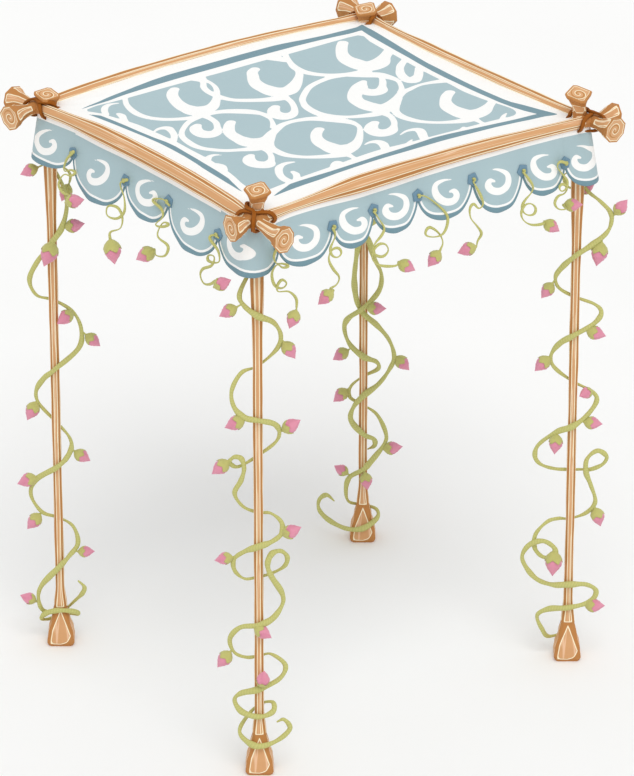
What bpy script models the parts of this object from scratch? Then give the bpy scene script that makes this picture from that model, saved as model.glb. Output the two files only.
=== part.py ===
"""Four-post wedding canopy: pole posts and rails lashed at the corners, a stretched cloth top,
a scalloped valance, and wired garlands with rosebuds. Metres, +Z up, origin on the floor at the
centre. The front is the long side towards -Y and the left is the side towards -X."""

import bpy
import bmesh
from math import cos, pi, radians, sin
from mathutils import Matrix, Vector

# Driving dimensions
POST_SPACING_X = 1.53
POST_SPACING_Y = 1.33
RAIL_HEIGHT = 2.30
HOUSING = 0.032  # a post stands this far inside the crossing of its two rails
RAIL_END_RADIUS = 0.053
RAIL_LAP_RADIUS = 0.024  # every rail has this radius where two of them are half-lapped
LAP_SLACK = 0.003  # side play of a half lap, because the rails bow
TOUCH_GAP = 0.0004
THONG_RADIUS = 0.007
CLOTH_THICKNESS = 0.003
TOP_SAG = 0.030
VALANCE_STAND_OFF = 0.006
VALANCE_FLARE = 0.14  # how far the cloth stands out for each metre that it hangs
VALANCE_CORNER_RADIUS = 0.030
GARLAND_FACING = radians(-37.4)  # the garlands swing wide across this bearing

CROSS_X = POST_SPACING_X / 2 + HOUSING
CROSS_Y = POST_SPACING_Y / 2 + HOUSING

COLOURS = {
    "wood": (0.71, 0.40, 0.18),
    "thong": (0.33, 0.07, 0.008),
    "cloth": (0.44, 0.57, 0.60),
    "garland": (0.51, 0.51, 0.18),
}
ROUGHNESS = {"wood": 0.62, "thong": 0.7, "cloth": 0.9, "garland": 0.75}

# Post radius at each height, from the flared foot up, and at each distance below the flared top
POST_PROFILE = [
    (0.0, 0.052),
    (0.014, 0.058),
    (0.050, 0.054),
    (0.105, 0.039),
    (0.160, 0.028),
    (0.260, 0.0190),
    (0.900, 0.0185),
    (1.780, 0.0200),
    (2.060, 0.0275),
]
HEAD_PROFILE = [(0.060, 0.0280), (0.027, 0.0340), (0.006, 0.0450), (0.0, 0.0430)]

# Each rail: the axis it runs along, the side it is on, its rise at mid-length, how far its middle
# bows outwards, and its radius at shares of the length between the two crossings
RAILS = {
    "front": {
        "along": "x",
        "side": -1,
        "rise": 0.026,
        "bow": 0.0,
        "radii": [(-0.80, 0.0185), (-0.35, 0.0360), (0.20, 0.0300), (0.80, 0.0235)],
    },
    "back": {
        "along": "x",
        "side": 1,
        "rise": 0.034,
        "bow": 0.0,
        "radii": [(-0.80, 0.0260), (-0.20, 0.0225), (0.30, 0.0205), (0.80, 0.0190)],
    },
    "left": {
        "along": "y",
        "side": -1,
        "rise": 0.032,
        "bow": 0.0,
        "radii": [(-0.80, 0.0320), (-0.30, 0.0355), (0.30, 0.0350), (0.80, 0.0250)],
    },
    "right": {
        "along": "y",
        "side": 1,
        "rise": 0.004,
        "bow": -0.028,
        "radii": [(-0.80, 0.0230), (-0.20, 0.0270), (0.30, 0.0260), (0.80, 0.0190)],
    },
}

# Where the valance's scallops meet: distances from a side's middle, left to right from outside,
# and how deep each notch lies below the rail's centre line
NOTCHES = {
    "front": [(-0.709, 0.135), (-0.460, 0.130), (-0.270, 0.119), (-0.062, 0.117), (0.200, 0.116),
              (0.440, 0.134), (0.648, 0.145)],
    "back": [(-0.697, 0.130), (-0.465, 0.120), (-0.232, 0.126), (0.0, 0.118), (0.232, 0.124),
             (0.465, 0.131), (0.697, 0.128)],
    "left": [(-0.424, 0.126), (-0.079, 0.135), (0.195, 0.126), (0.506, 0.140)],
    "right": [(-0.597, 0.132), (-0.242, 0.122), (0.113, 0.130), (0.467, 0.127)],
}
# How deep each scallop hangs below the rail's centre line, in the same order
LOBES = {
    "front": [0.226, 0.224, 0.219, 0.226, 0.257, 0.238],
    "back": [0.240, 0.226, 0.250, 0.230, 0.255, 0.236],
    "left": [0.262, 0.232, 0.254],
    "right": [0.236, 0.256, 0.232],
}

# The corners: the height of the post, how far its two rails run on past their crossing, the depth
# of the valance's corner lobe, and which rail keeps its upper half where the two are half-lapped
CORNERS = {
    "front_left": {
        "x": -1, "y": -1, "top": 2.415, "overrun": (0.115, 0.185), "lobe": 0.222, "upper": "left",
    },
    "front_right": {
        "x": 1, "y": -1, "top": 2.425, "overrun": (0.120, 0.135), "lobe": 0.242, "upper": "right",
    },
    "back_left": {
        "x": -1, "y": 1, "top": 2.365, "overrun": (0.135, 0.170), "lobe": 0.207, "upper": "back",
    },
    "back_right": {
        "x": 1, "y": 1, "top": 2.365, "overrun": (0.120, 0.150), "lobe": 0.236, "upper": "back",
    },
}

# Routes of the garland stems down the posts: height, offset to the side and depth. The depth is a
# share of the distance at which the stem touches the post, 1 in front of it and -1 behind it.
GARLAND_ROUTES = {
    "back_left": [
        (2.06, 0.0, -1.0), (1.97, 0.045, -0.6), (1.89, 0.060, 0.0), (1.81, 0.040, 0.7),
        (1.75, 0.0, 1.0), (1.66, -0.060, 0.5), (1.58, -0.091, 0.0), (1.51, -0.065, -0.5),
        (1.485, 0.0, -1.0), (1.44, 0.075, -0.4), (1.37, 0.106, 0.0), (1.292, 0.094, 0.3),
        (1.21, 0.0, 1.0), (1.165, -0.045, 0.6), (1.105, -0.076, 0.0), (1.045, -0.066, -0.4),
        (0.958, 0.0, -1.0), (0.905, 0.046, -0.5), (0.865, 0.058, 0.0), (0.825, 0.040, 0.7),
        (0.786, 0.0, 1.0), (0.723, -0.085, 0.4), (0.651, -0.107, 0.0), (0.570, -0.066, -0.5),
        (0.540, 0.0, -1.0), (0.508, 0.056, -0.4), (0.438, 0.075, 0.0), (0.390, 0.040, 0.7),
        (0.345, 0.0, 1.0), (0.260, -0.070, 0.5), (0.195, -0.088, 0.0), (0.130, -0.070, -0.3),
        (0.105, 0.0, -1.0), (0.116, 0.062, -0.2), (0.140, 0.060, 0.5), (0.156, 0.0, 1.0),
        (0.135, -0.056, 0.5), (0.100, -0.078, 0.0), (0.080, -0.050, -0.7), (0.100, 0.0, -1.15),
        (0.170, 0.055, -0.5), (0.214, 0.089, 0.0), (0.242, 0.096, 0.0), (0.270, 0.072, 0.0),
    ],
    "front_left": [
        (2.08, -0.020, -0.9), (1.99, -0.064, 0.0), (1.95, -0.048, 0.6), (1.915, 0.0, 1.0),
        (1.883, 0.058, 0.6), (1.823, 0.086, 0.0), (1.760, 0.070, -0.4), (1.687, 0.0, -1.0),
        (1.664, -0.060, -0.5), (1.597, -0.096, 0.0), (1.535, -0.088, 0.3), (1.498, -0.050, 0.8),
        (1.489, 0.0, 1.0), (1.468, 0.060, 0.5), (1.428, 0.080, 0.0), (1.379, 0.064, -0.5),
        (1.321, 0.0, -1.0), (1.284, -0.060, -0.6), (1.280, -0.088, -0.5), (1.303, -0.106, -0.2),
        (1.326, -0.088, 0.1), (1.320, -0.062, 0.2), (1.280, -0.052, 0.3), (1.230, -0.064, 0.2),
        (1.174, -0.088, 0.0), (1.112, -0.056, -0.6), (1.085, 0.0, -1.0), (1.084, 0.046, -0.7),
        (1.055, 0.086, 0.0), (1.010, 0.086, 0.3), (0.983, 0.048, 0.8), (0.966, 0.0, 1.0),
        (0.940, -0.052, 0.6), (0.900, -0.092, 0.0), (0.848, -0.090, -0.3), (0.808, -0.052, -0.8),
        (0.815, 0.0, -1.0), (0.830, 0.046, -0.8), (0.866, 0.096, -0.3), (0.908, 0.108, 0.0),
        (0.938, 0.084, 0.3), (0.930, 0.050, 0.6), (0.890, 0.034, 0.9), (0.840, 0.048, 0.9),
        (0.766, 0.086, 0.4), (0.715, 0.090, 0.2), (0.661, 0.054, 0.7), (0.635, 0.0, 1.0),
        (0.618, -0.070, 0.5), (0.563, -0.110, 0.0), (0.500, -0.094, -0.4), (0.474, -0.048, -0.8),
        (0.478, 0.0, -1.0), (0.488, 0.045, -0.8), (0.451, 0.099, 0.0), (0.400, 0.078, 0.5),
        (0.362, 0.0, 1.0), (0.336, -0.070, 0.5), (0.300, -0.094, 0.1), (0.258, -0.066, 0.6),
        (0.243, 0.0, 1.0), (0.258, 0.052, 0.5), (0.286, 0.050, -0.4), (0.270, 0.0, -1.0),
        (0.215, -0.050, -0.7), (0.166, -0.076, 0.0), (0.136, -0.050, 0.6), (0.124, 0.0, 1.0),
        (0.136, 0.068, 0.5), (0.176, 0.116, 0.0), (0.214, 0.094, -0.1), (0.204, 0.066, -0.1),
    ],
    "front_right": [
        (2.06, 0.0, -1.0), (2.00, 0.040, -0.7), (1.965, 0.088, -0.1), (1.920, 0.128, 0.0),
        (1.875, 0.132, 0.0), (1.833, 0.112, 0.2), (1.790, 0.056, 0.7), (1.754, 0.0, 1.0),
        (1.700, -0.050, 0.5), (1.650, -0.077, 0.0), (1.598, -0.062, -0.5), (1.556, 0.0, -1.0),
        (1.532, 0.076, -0.3), (1.500, 0.103, 0.0), (1.460, 0.076, 0.5), (1.417, 0.0, 1.0),
        (1.376, -0.056, 0.6), (1.318, -0.088, 0.0), (1.262, -0.074, -0.4), (1.196, 0.0, -1.0),
        (1.162, 0.072, -0.3), (1.125, 0.094, 0.0), (1.070, 0.058, 0.6), (1.025, 0.0, 1.0),
        (0.996, -0.060, 0.6), (0.935, -0.128, 0.0), (0.885, -0.143, 0.0), (0.846, -0.120, -0.2),
        (0.821, -0.064, -0.7), (0.815, 0.0, -1.0), (0.818, 0.048, -0.7), (0.822, 0.080, -0.4),
        (0.846, 0.124, -0.2), (0.882, 0.138, 0.0), (0.908, 0.102, 0.1), (0.876, 0.062, 0.3),
        (0.820, 0.058, 0.4), (0.762, 0.078, 0.3), (0.685, 0.098, 0.0), (0.630, 0.064, -0.5),
        (0.600, 0.0, -1.0), (0.602, -0.045, -0.8), (0.592, -0.090, -0.3), (0.540, -0.134, -0.1),
        (0.480, -0.136, 0.0), (0.444, -0.104, 0.2), (0.452, -0.062, 0.6), (0.490, -0.060, 0.7),
        (0.518, -0.104, 0.5), (0.500, -0.158, 0.4), (0.448, -0.186, 0.3), (0.392, -0.166, 0.2),
        (0.345, -0.122, 0.4), (0.329, -0.062, 0.8), (0.333, 0.0, 1.0), (0.327, 0.070, 0.6),
        (0.293, 0.110, 0.3), (0.250, 0.084, 0.6), (0.231, 0.0, 1.0), (0.218, -0.076, 0.5),
        (0.182, -0.122, 0.1), (0.118, -0.100, 0.0), (0.076, -0.072, -0.4), (0.084, 0.0, -1.0),
    ],
    "back_right": [
        (2.06, 0.0, -1.0), (1.98, 0.062, -0.5), (1.90, 0.084, 0.0), (1.84, 0.060, 0.6),
        (1.78, 0.0, 1.0), (1.73, -0.060, 0.5), (1.67, -0.086, 0.0), (1.61, -0.060, -0.6),
        (1.56, 0.0, -1.0), (1.53, 0.062, -0.5), (1.49, 0.082, 0.0), (1.45, 0.056, 0.6),
        (1.41, 0.0, 1.0), (1.355, 0.022, 1.0), (1.275, 0.044, 0.6), (1.200, 0.072, 0.0),
        (1.130, 0.062, 0.5), (1.070, 0.0, 1.7), (1.012, -0.062, 0.8), (0.958, -0.078, 0.2),
        (0.893, -0.056, 0.6), (0.842, 0.0, 1.0), (0.812, 0.054, 0.5), (0.774, 0.060, 0.0),
        (0.730, 0.0, -1.0), (0.690, -0.050, -0.5), (0.640, -0.054, -0.5), (0.600, 0.0, -1.0),
        (0.560, 0.058, -0.5), (0.480, 0.095, 0.0), (0.432, 0.086, 0.4), (0.365, 0.030, 1.3),
        (0.332, 0.0, 1.4), (0.286, -0.055, 0.6), (0.222, -0.070, 0.0), (0.158, -0.058, -0.5),
        (0.134, 0.0, -1.0), (0.128, 0.056, -0.2), (0.100, 0.060, 0.4), (0.070, 0.0, 1.0),
        (0.062, -0.070, 0.7), (0.088, -0.142, 0.3), (0.132, -0.182, 0.1), (0.176, -0.180, 0.0),
        (0.196, -0.150, 0.0), (0.168, -0.118, 0.0),
    ],
}
# A second stem forks off the garland of the back right post
FORK_ROUTE = [
    (1.41, 0.0, 1.0), (1.355, -0.020, 1.0), (1.250, -0.034, 0.9), (1.168, -0.038, 0.8),
    (1.085, -0.026, 0.9), (1.035, 0.0, 1.0), (0.977, 0.056, 0.6), (0.906, 0.106, 0.2),
    (0.829, 0.127, 0.0), (0.775, 0.108, 0.2), (0.714, 0.064, 0.6), (0.664, 0.0, 1.0),
    (0.610, -0.040, 0.8), (0.550, -0.050, 0.7), (0.490, 0.0, 1.0), (0.462, 0.044, 0.6),
    (0.425, 0.048, 0.0), (0.398, 0.020, -0.9),
]

# Rosebud tips on the posts: height, offset to the side, distance towards the viewer, and the bud's
# size. A bud over full size hangs straight down from its stem.
BUD_TIPS = {
    "back_left": [
        (2.020, -0.118, 0.0, 0.9), (1.824, 0.130, 0.02, 1.0), (1.660, -0.030, 0.07, 1.3),
        (1.408, 0.012, 0.06, 1.0), (1.300, 0.180, 0.0, 1.0), (0.982, -0.113, 0.02, 1.0),
        (0.798, 0.130, 0.0, 1.0), (0.711, -0.160, 0.02, 1.0), (0.498, -0.125, 0.0, 1.0),
        (0.406, 0.142, 0.02, 0.9), (0.207, -0.160, 0.0, 0.9),
    ],
    "front_left": [
        (1.909, -0.141, 0.02, 1.0), (1.728, 0.140, 0.0, 1.0), (1.459, -0.124, 0.02, 1.0),
        (1.474, 0.160, 0.0, 1.0), (1.255, -0.172, 0.0, 1.0), (1.039, 0.162, 0.02, 1.0),
        (0.898, -0.166, 0.0, 0.9), (0.592, 0.050, 0.06, 1.0), (0.440, -0.158, 0.0, 1.0),
        (0.450, 0.020, 0.07, 1.0),
    ],
    "front_right": [
        (1.972, 0.192, 0.0, 1.0), (1.707, 0.078, 0.04, 1.3), (1.560, -0.130, 0.0, 1.0),
        (1.405, 0.122, 0.02, 1.0), (1.251, -0.150, 0.0, 1.0), (1.158, 0.022, 0.06, 0.9),
        (1.029, 0.118, 0.02, 1.0), (0.908, -0.068, 0.05, 1.0), (0.577, 0.122, 0.0, 1.0),
        (0.378, -0.066, 0.06, 1.3), (0.231, 0.146, 0.02, 1.0),
    ],
    "back_right": [
        (1.809, -0.110, 0.02, 1.0), (1.860, 0.160, 0.0, 1.0), (1.540, 0.150, 0.0, 1.0),
        (1.064, 0.093, 0.05, 1.0), (0.770, 0.190, 0.0, 1.0), (0.827, -0.127, 0.02, 1.0),
        (0.625, -0.125, 0.0, 1.0), (0.425, 0.165, 0.02, 1.0), (0.344, -0.118, 0.02, 0.9),
        (0.245, 0.020, 0.06, 1.0),
    ],
}
BUD_LENGTH = 0.082
BUD_PROFILE = [(0.0, 0.004), (0.18, 0.008), (0.42, 0.025), (0.66, 0.022), (1.0, 0.002)]

# Tendril routes below a notch: offset along the valance and drop, ending where the bud begins
TENDRIL_ROUTES = [
    [(0.0, 0.0), (0.012, 0.020), (-0.022, 0.052), (-0.010, 0.090), (0.024, 0.084), (0.034, 0.102),
     (0.010, 0.112), (-0.022, 0.122), (-0.040, 0.160), (-0.020, 0.186), (0.004, 0.194)],
    [(0.0, 0.0), (-0.014, 0.028), (-0.006, 0.080), (-0.012, 0.120), (-0.040, 0.150),
     (-0.072, 0.132), (-0.062, 0.108), (-0.026, 0.112), (-0.010, 0.150), (-0.026, 0.184),
     (-0.052, 0.204), (-0.044, 0.224)],
    [(0.0, 0.0), (0.026, 0.036), (0.036, 0.062), (0.010, 0.106), (0.004, 0.140), (0.034, 0.130),
     (0.054, 0.152), (0.036, 0.174), (0.008, 0.160), (0.012, 0.200), (0.046, 0.216),
     (0.074, 0.212)],
    [(0.0, 0.0), (0.014, 0.030), (0.006, 0.064), (0.032, 0.072), (0.036, 0.094), (0.008, 0.092),
     (-0.012, 0.122), (-0.008, 0.160), (0.026, 0.194), (0.020, 0.226), (-0.006, 0.246)],
]
# For each side the tendrils' route number and +1 as drawn or -1 mirrored, one for each notch
TENDRIL_PLAN = {
    "front": [(3, -1), (3, 1), (2, 1), (1, -1), (3, 1), (2, 1), (0, 1)],
    "left": [(1, -1), (2, -1), (1, 1), (0, 1)],
    "back": [(2, 1), (3, 1), (1, 1), (0, -1), (2, -1), (3, -1), (1, 1)],
    "right": [(0, 1), (1, -1), (3, 1), (2, -1)],
}
TIE_PROFILE = [(0.0, 0.006), (0.5, 0.0180), (1.0, 0.0040)]
TIE_LENGTH = 0.032
TENDRIL_RADIUS = 0.0042


def clear_scene():
    for obj in list(bpy.data.objects):
        bpy.data.objects.remove(obj)


def material(name):
    found = bpy.data.materials.get(name)
    if found:
        return found
    made = bpy.data.materials.new(name)
    made.use_nodes = True
    shader = made.node_tree.nodes["Principled BSDF"]
    shader.inputs["Base Color"].default_value = (*COLOURS[name], 1.0)
    shader.inputs["Roughness"].default_value = ROUGHNESS[name]
    return made


def add_object(name, mesh, finish=None):
    obj = bpy.data.objects.new(name, mesh)
    bpy.context.scene.collection.objects.link(obj)
    if finish:
        mesh.materials.append(material(finish))
    return obj


def make_guide(obj):
    """Keeps a cutter or a shape to be joined out of the finished part."""
    obj.hide_render = True
    obj.display_type = "WIRE"
    return obj


def boolean(obj, operation, other):
    modifier = obj.modifiers.new(operation.lower(), "BOOLEAN")
    modifier.operation = operation
    modifier.solver = "EXACT"
    modifier.object = other


def smooth_curve(points, steps):
    """Points of a Catmull-Rom curve through the given points, with this many steps for each span."""
    ends = [points[0] * 2 - points[1]] + points + [points[-1] * 2 - points[-2]]
    out = []
    for a, b, c, d in zip(ends, ends[1:], ends[2:], ends[3:]):
        for k in range(steps):
            t = k / steps
            out.append(
                0.5 * (2 * b + (c - a) * t + (2 * a - 5 * b + 4 * c - d) * t**2
                       + (3 * b - a - 3 * c + d) * t**3)
            )
    return out + [points[-1]]


def profile_value(profile, at):
    """Reads a list of (place, value) pairs, eased between its entries."""
    if at <= profile[0][0]:
        return profile[0][1]
    for (a, low), (b, high) in zip(profile, profile[1:]):
        if at <= b:
            share = (at - a) / (b - a)
            return low + (high - low) * share * share * (3 - 2 * share)
    return profile[-1][1]


def tube(name, points, radii, sides, ring=False):
    """A closed mesh: a round section swept along the points, with its own radius at each one."""
    curve = bpy.data.curves.new(name, "CURVE")
    curve.dimensions = "3D"
    curve.bevel_depth = 1.0
    curve.bevel_resolution = (sides - 4) // 2
    curve.use_fill_caps = not ring
    spline = curve.splines.new("POLY")
    spline.points.add(len(points) - 1)
    for place, point, radius in zip(spline.points, points, radii):
        place.co = (*point, 1.0)
        place.radius = radius
    spline.use_cyclic_u = ring
    holder = bpy.data.objects.new(name, curve)
    bpy.context.scene.collection.objects.link(holder)
    bpy.context.view_layer.update()
    graph = bpy.context.evaluated_depsgraph_get()
    mesh = bpy.data.meshes.new_from_object(holder.evaluated_get(graph))
    bpy.data.objects.remove(holder)
    shape = bmesh.new()
    shape.from_mesh(mesh)
    bmesh.ops.remove_doubles(shape, verts=shape.verts, dist=1e-6)
    bmesh.ops.recalc_face_normals(shape, faces=shape.faces)
    shape.to_mesh(mesh)
    shape.free()
    mesh.name = name
    return mesh


def rail_axis(name, share):
    """A point on a rail's centre line. The share is -1 and 1 at the two crossings."""
    rail = RAILS[name]
    swell = 1 - share * share
    across = rail["side"] * ((CROSS_Y if rail["along"] == "x" else CROSS_X) + rail["bow"] * swell)
    height = RAIL_HEIGHT + rail["rise"] * swell
    if rail["along"] == "x":
        return Vector((CROSS_X * share, across, height))
    return Vector((across, CROSS_Y * share, height))


def rail_overruns(name):
    """How far a rail runs on past its crossings: at its low end and at its high end."""
    if RAILS[name]["along"] == "x":
        return [CORNERS[f"{name}_{end}"]["overrun"][0] for end in ("left", "right")]
    return [CORNERS[f"{end}_{name}"]["overrun"][1] for end in ("front", "back")]


def rail_flare(half, overrun):
    """The flared end of a rail: its radius at shares of the half length."""
    end = (half + overrun) / half
    return [(end - 0.055 / half, 0.033), (end - 0.018 / half, 0.048), (end, RAIL_END_RADIUS)]


def rail_sections(name, grow=0.0):
    """Centres and radii along a rail, from one flared end to the other."""
    rail = RAILS[name]
    half = side_half(name)
    low, high = (rail_flare(half, overrun) for overrun in rail_overruns(name))
    lap = 0.045 / half
    body = [(-1 - lap, RAIL_LAP_RADIUS), (-1 + lap, RAIL_LAP_RADIUS), *rail["radii"],
            (1 - lap, RAIL_LAP_RADIUS), (1 + lap, RAIL_LAP_RADIUS)]
    profile = [(-at, radius) for at, radius in reversed(low)] + body + high
    extra = [(a + b) / 2 for (a, _), (b, _) in zip(body[1:-1], body[2:-1])]
    shares = sorted([at for at, _ in profile] + [-1.0, 1.0] + extra)
    centres = [rail_axis(name, share) for share in shares]
    return centres, [profile_value(profile, share) + grow for share in shares]


def lap_cutter(corner, keeps_upper):
    """The box that a rail loses at a crossing: the lower half of one rail, the upper of the other."""
    place = CORNERS[corner]
    slack = TOUCH_GAP / 2
    height = 0.08
    middle = RAIL_HEIGHT + (slack - height / 2 if keeps_upper else height / 2 - slack)
    width = 2 * (RAIL_LAP_RADIUS + LAP_SLACK)
    shape = bmesh.new()
    centre = Vector((place["x"] * CROSS_X, place["y"] * CROSS_Y, middle))
    bmesh.ops.create_cube(shape, size=1.0, matrix=Matrix.Translation(centre)
                          @ Matrix.Diagonal((width, width, height, 1.0)))
    mesh = bpy.data.meshes.new("lap_" + corner)
    shape.to_mesh(mesh)
    shape.free()
    return make_guide(add_object(f"lap_{corner}_{keeps_upper}", mesh))


def build_rails():
    rails, cutters = {}, {}
    for name, rail in RAILS.items():
        rails[name] = add_object(f"{name}_rail", tube(name, *rail_sections(name), 8), "wood")
        wider = tube(name, *rail_sections(name, TOUCH_GAP), 8)
        cutters[name] = make_guide(add_object(f"{name}_rail_cutter", wider))
        for corner, place in CORNERS.items():
            if name in corner.split("_"):
                boolean(rails[name], "DIFFERENCE", lap_cutter(corner, place["upper"] == name))
    return rails, cutters


def post_centre(corner):
    place = CORNERS[corner]
    return Vector((place["x"] * POST_SPACING_X / 2, place["y"] * POST_SPACING_Y / 2, 0.0))


def post_profile(corner):
    """Radius at each height of a post, up to its own top."""
    top = CORNERS[corner]["top"]
    return POST_PROFILE + [(top - below, radius) for below, radius in HEAD_PROFILE]


def post_mesh(corner, grow=0.0):
    profile = post_profile(corner)
    centres = [post_centre(corner) + Vector((0, 0, height)) for height, _ in profile]
    return tube(corner, centres, [radius + grow for _, radius in profile], 8)


def build_posts(rail_cutters):
    cutters = {}
    for corner in CORNERS:
        post = add_object(f"{corner}_post", post_mesh(corner), "wood")
        cutters[corner] = make_guide(add_object(f"{corner}_post_cutter", post_mesh(corner, TOUCH_GAP)))
        for side in corner.split("_"):
            boolean(post, "DIFFERENCE", rail_cutters[side])
    return cutters


def thong_loops():
    """Two closed thong routes at a corner: outward along X, outward along Y, up from the crossing."""
    reach = RAIL_LAP_RADIUS + 0.003
    under = -RAIL_LAP_RADIUS - 0.004
    across = [
        (reach, -0.070, 0.000), (0.022, -0.056, 0.020), (0.013, -0.028, 0.031), (0.002, 0.002, 0.038),
        (-0.028, 0.013, 0.031), (-0.056, 0.022, 0.020), (-0.070, reach, 0.000), (-0.070, 0.014, -0.022),
        (-0.072, -0.010, under), (-0.076, -0.036, under - 0.002), (-0.062, -0.062, under - 0.002),
        (-0.036, -0.076, under - 0.002), (-0.010, -0.072, under), (0.014, -0.070, -0.022),
    ]
    around = [
        (0.034, 0.034, -0.004), (0.024, 0.026, 0.018), (0.008, 0.004, 0.038), (0.000, -0.034, 0.033),
        (-0.014, -0.066, 0.026), (-0.042, -0.078, 0.010), (-0.068, -0.066, -0.006), (-0.074, -0.038, -0.018),
        (-0.066, -0.012, under), (-0.034, 0.006, under - 0.002), (0.0, 0.014, under - 0.002),
        (0.024, 0.026, -0.024),
    ]
    return across, around


def closed_curve(points, steps):
    """A closed Catmull-Rom curve through the points."""
    wrapped = smooth_curve(points[-2:] + points + points[:2], steps)
    return wrapped[2 * steps: (2 + len(points)) * steps]


def loop_mesh(name, corner, route, grow=0.0):
    place = CORNERS[corner]
    crossing = Vector((place["x"] * CROSS_X, place["y"] * CROSS_Y, RAIL_HEIGHT))
    points = [crossing + Vector((place["x"] * a, place["y"] * b, up)) for a, b, up in route]
    points = closed_curve(points, 1)
    return tube(name, points, [THONG_RADIUS + grow] * len(points), 4, ring=True)


def build_lashings(rail_cutters, post_cutters):
    """One lashing at each corner: two thong loops that cross on top of the joint."""
    cutters = {}
    across, around = thong_loops()
    for corner in CORNERS:
        lashing = add_object(f"{corner}_lashing", loop_mesh(corner, corner, across), "thong")
        second = make_guide(add_object(f"{corner}_second_loop", loop_mesh(corner, corner, around)))
        boolean(lashing, "UNION", second)
        for side in corner.split("_"):
            boolean(lashing, "DIFFERENCE", rail_cutters[side])
        boolean(lashing, "DIFFERENCE", post_cutters[corner])
        cutters[corner] = {}
        for loop, route in (("across", across), ("around", around)):
            wider = loop_mesh(loop, corner, route, 2 * TOUCH_GAP)
            cutters[corner][loop] = make_guide(add_object(f"{corner}_{loop}_cutter", wider))
    return cutters


def top_point(u, v):
    """A point of the stretched top, with u and v from -1 to 1 across it. Its edges lie on the rails'
    centre lines, and it sags between them."""
    swell_x, swell_y = 1 - u * u, 1 - v * v
    near, far, left, right = (1 - v) / 2, (1 + v) / 2, (1 - u) / 2, (1 + u) / 2
    rise = swell_x * (near * RAILS["front"]["rise"] + far * RAILS["back"]["rise"])
    rise += swell_y * (left * RAILS["left"]["rise"] + right * RAILS["right"]["rise"])
    x = u * CROSS_X + right * swell_y * RAILS["right"]["bow"]
    return Vector((x, v * CROSS_Y, RAIL_HEIGHT + rise - TOP_SAG * swell_x * swell_y))


def build_top(rail_cutters, post_cutters, thong_cutters):
    shape = bmesh.new()
    bmesh.ops.create_grid(shape, x_segments=8, y_segments=8, size=1.0)
    for vertex in shape.verts:
        vertex.co = top_point(vertex.co.x, vertex.co.y)
    mesh = bpy.data.meshes.new("canopy_top")
    shape.to_mesh(mesh)
    shape.free()
    top = add_object("canopy_top", mesh, "cloth")
    thicken(top)
    through = [cutters["around"] for cutters in thong_cutters.values()]
    for cutter in [*rail_cutters.values(), *through, *post_cutters.values()]:
        boolean(top, "DIFFERENCE", cutter)


def thicken(obj):
    modifier = obj.modifiers.new("cloth", "SOLIDIFY")
    modifier.thickness = CLOTH_THICKNESS
    modifier.offset = 0.0
    modifier.use_even_offset = True


def side_frame(name):
    """A side's direction along its length (left to right seen from outside) and outwards."""
    return {
        "front": (Vector((1, 0, 0)), Vector((0, -1, 0))),
        "back": (Vector((-1, 0, 0)), Vector((0, 1, 0))),
        "left": (Vector((0, -1, 0)), Vector((-1, 0, 0))),
        "right": (Vector((0, 1, 0)), Vector((1, 0, 0))),
    }[name]


def side_half(name):
    return CROSS_X if RAILS[name]["along"] == "x" else CROSS_Y


def corner_notches(corner):
    """The two notches beside a corner lobe: distance from the rails' crossing, and depth. The first
    is on the side along X and the second on the side along Y."""
    place = CORNERS[corner]
    sides = ("front" if place["y"] < 0 else "back", "left" if place["x"] < 0 else "right")
    ways = (Vector((place["x"], 0, 0)), Vector((0, place["y"], 0)))
    found = []
    for side, way in zip(sides, ways):
        turn = side_frame(side)[0].dot(way)
        offset, depth = max(NOTCHES[side], key=lambda notch: notch[0] * turn)
        found.append((side_half(side) - offset * turn, depth))
    return found


def side_point(name, offset, drop):
    """A point of the valance on a straight side, at an offset from its middle and a drop below the rail."""
    along, out = side_frame(name)
    half = side_half(name)
    share = (along * offset).dot(Vector((1, 1, 0))) / half
    axis = rail_axis(name, share)
    return axis + out * (VALANCE_STAND_OFF + VALANCE_FLARE * drop) - Vector((0, 0, drop))


def lobe_drop(share, first, last, deepest):
    """Drop of the scalloped edge, with the share running from 0 to 1 over one lobe, between the
    depths of its first and last notch."""
    t = abs(2 * share - 1)
    notch = first + (last - first) * share
    return notch + (deepest - notch) * max(0.0, 1 - t**2.4) ** 0.6


def strip_mesh(name, columns):
    """A strip of quads from (top, bottom) points, one pair for each column."""
    shape = bmesh.new()
    rows = [[shape.verts.new(point) for point in column] for column in columns]
    for one, two in zip(rows, rows[1:]):
        for k in range(len(one) - 1):
            shape.faces.new((one[k], one[k + 1], two[k + 1], two[k]))
    mesh = bpy.data.meshes.new(name)
    shape.to_mesh(mesh)
    shape.free()
    return mesh


def lobe_shares(count):
    """Places across a lobe, closer together beside the notches."""
    return [0.5 - 0.5 * cos(pi * k / count) for k in range(count)]


def build_valance(rail_cutters, thong_cutters):
    """The straight part of each side and the four corner lobes, which turn round the corners."""
    seam = TOUCH_GAP / 2
    for name in RAILS:
        notches = NOTCHES[name]
        columns = []
        for (a, first), (b, last), deepest in zip(notches, notches[1:], LOBES[name]):
            for share in lobe_shares(6) + ([1.0] if b == notches[-1][0] else []):
                offset = a + (b - a) * share
                offset = min(max(offset, notches[0][0] + seam), notches[-1][0] - seam)
                bottom = lobe_drop(share, first, last, deepest)
                columns.append([side_point(name, offset, drop) for drop in (0.0, bottom)])
        panel = add_object(f"{name}_valance", strip_mesh(name, columns), "cloth")
        thicken(panel)
        boolean(panel, "DIFFERENCE", rail_cutters[name])
    for corner in CORNERS:
        columns = corner_columns(corner)
        lobe = add_object(f"{corner}_valance_corner", strip_mesh(corner, columns), "cloth")
        thicken(lobe)
        for side in corner.split("_"):
            boolean(lobe, "DIFFERENCE", rail_cutters[side])
        for cutter in thong_cutters[corner].values():
            boolean(lobe, "DIFFERENCE", cutter)


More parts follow.
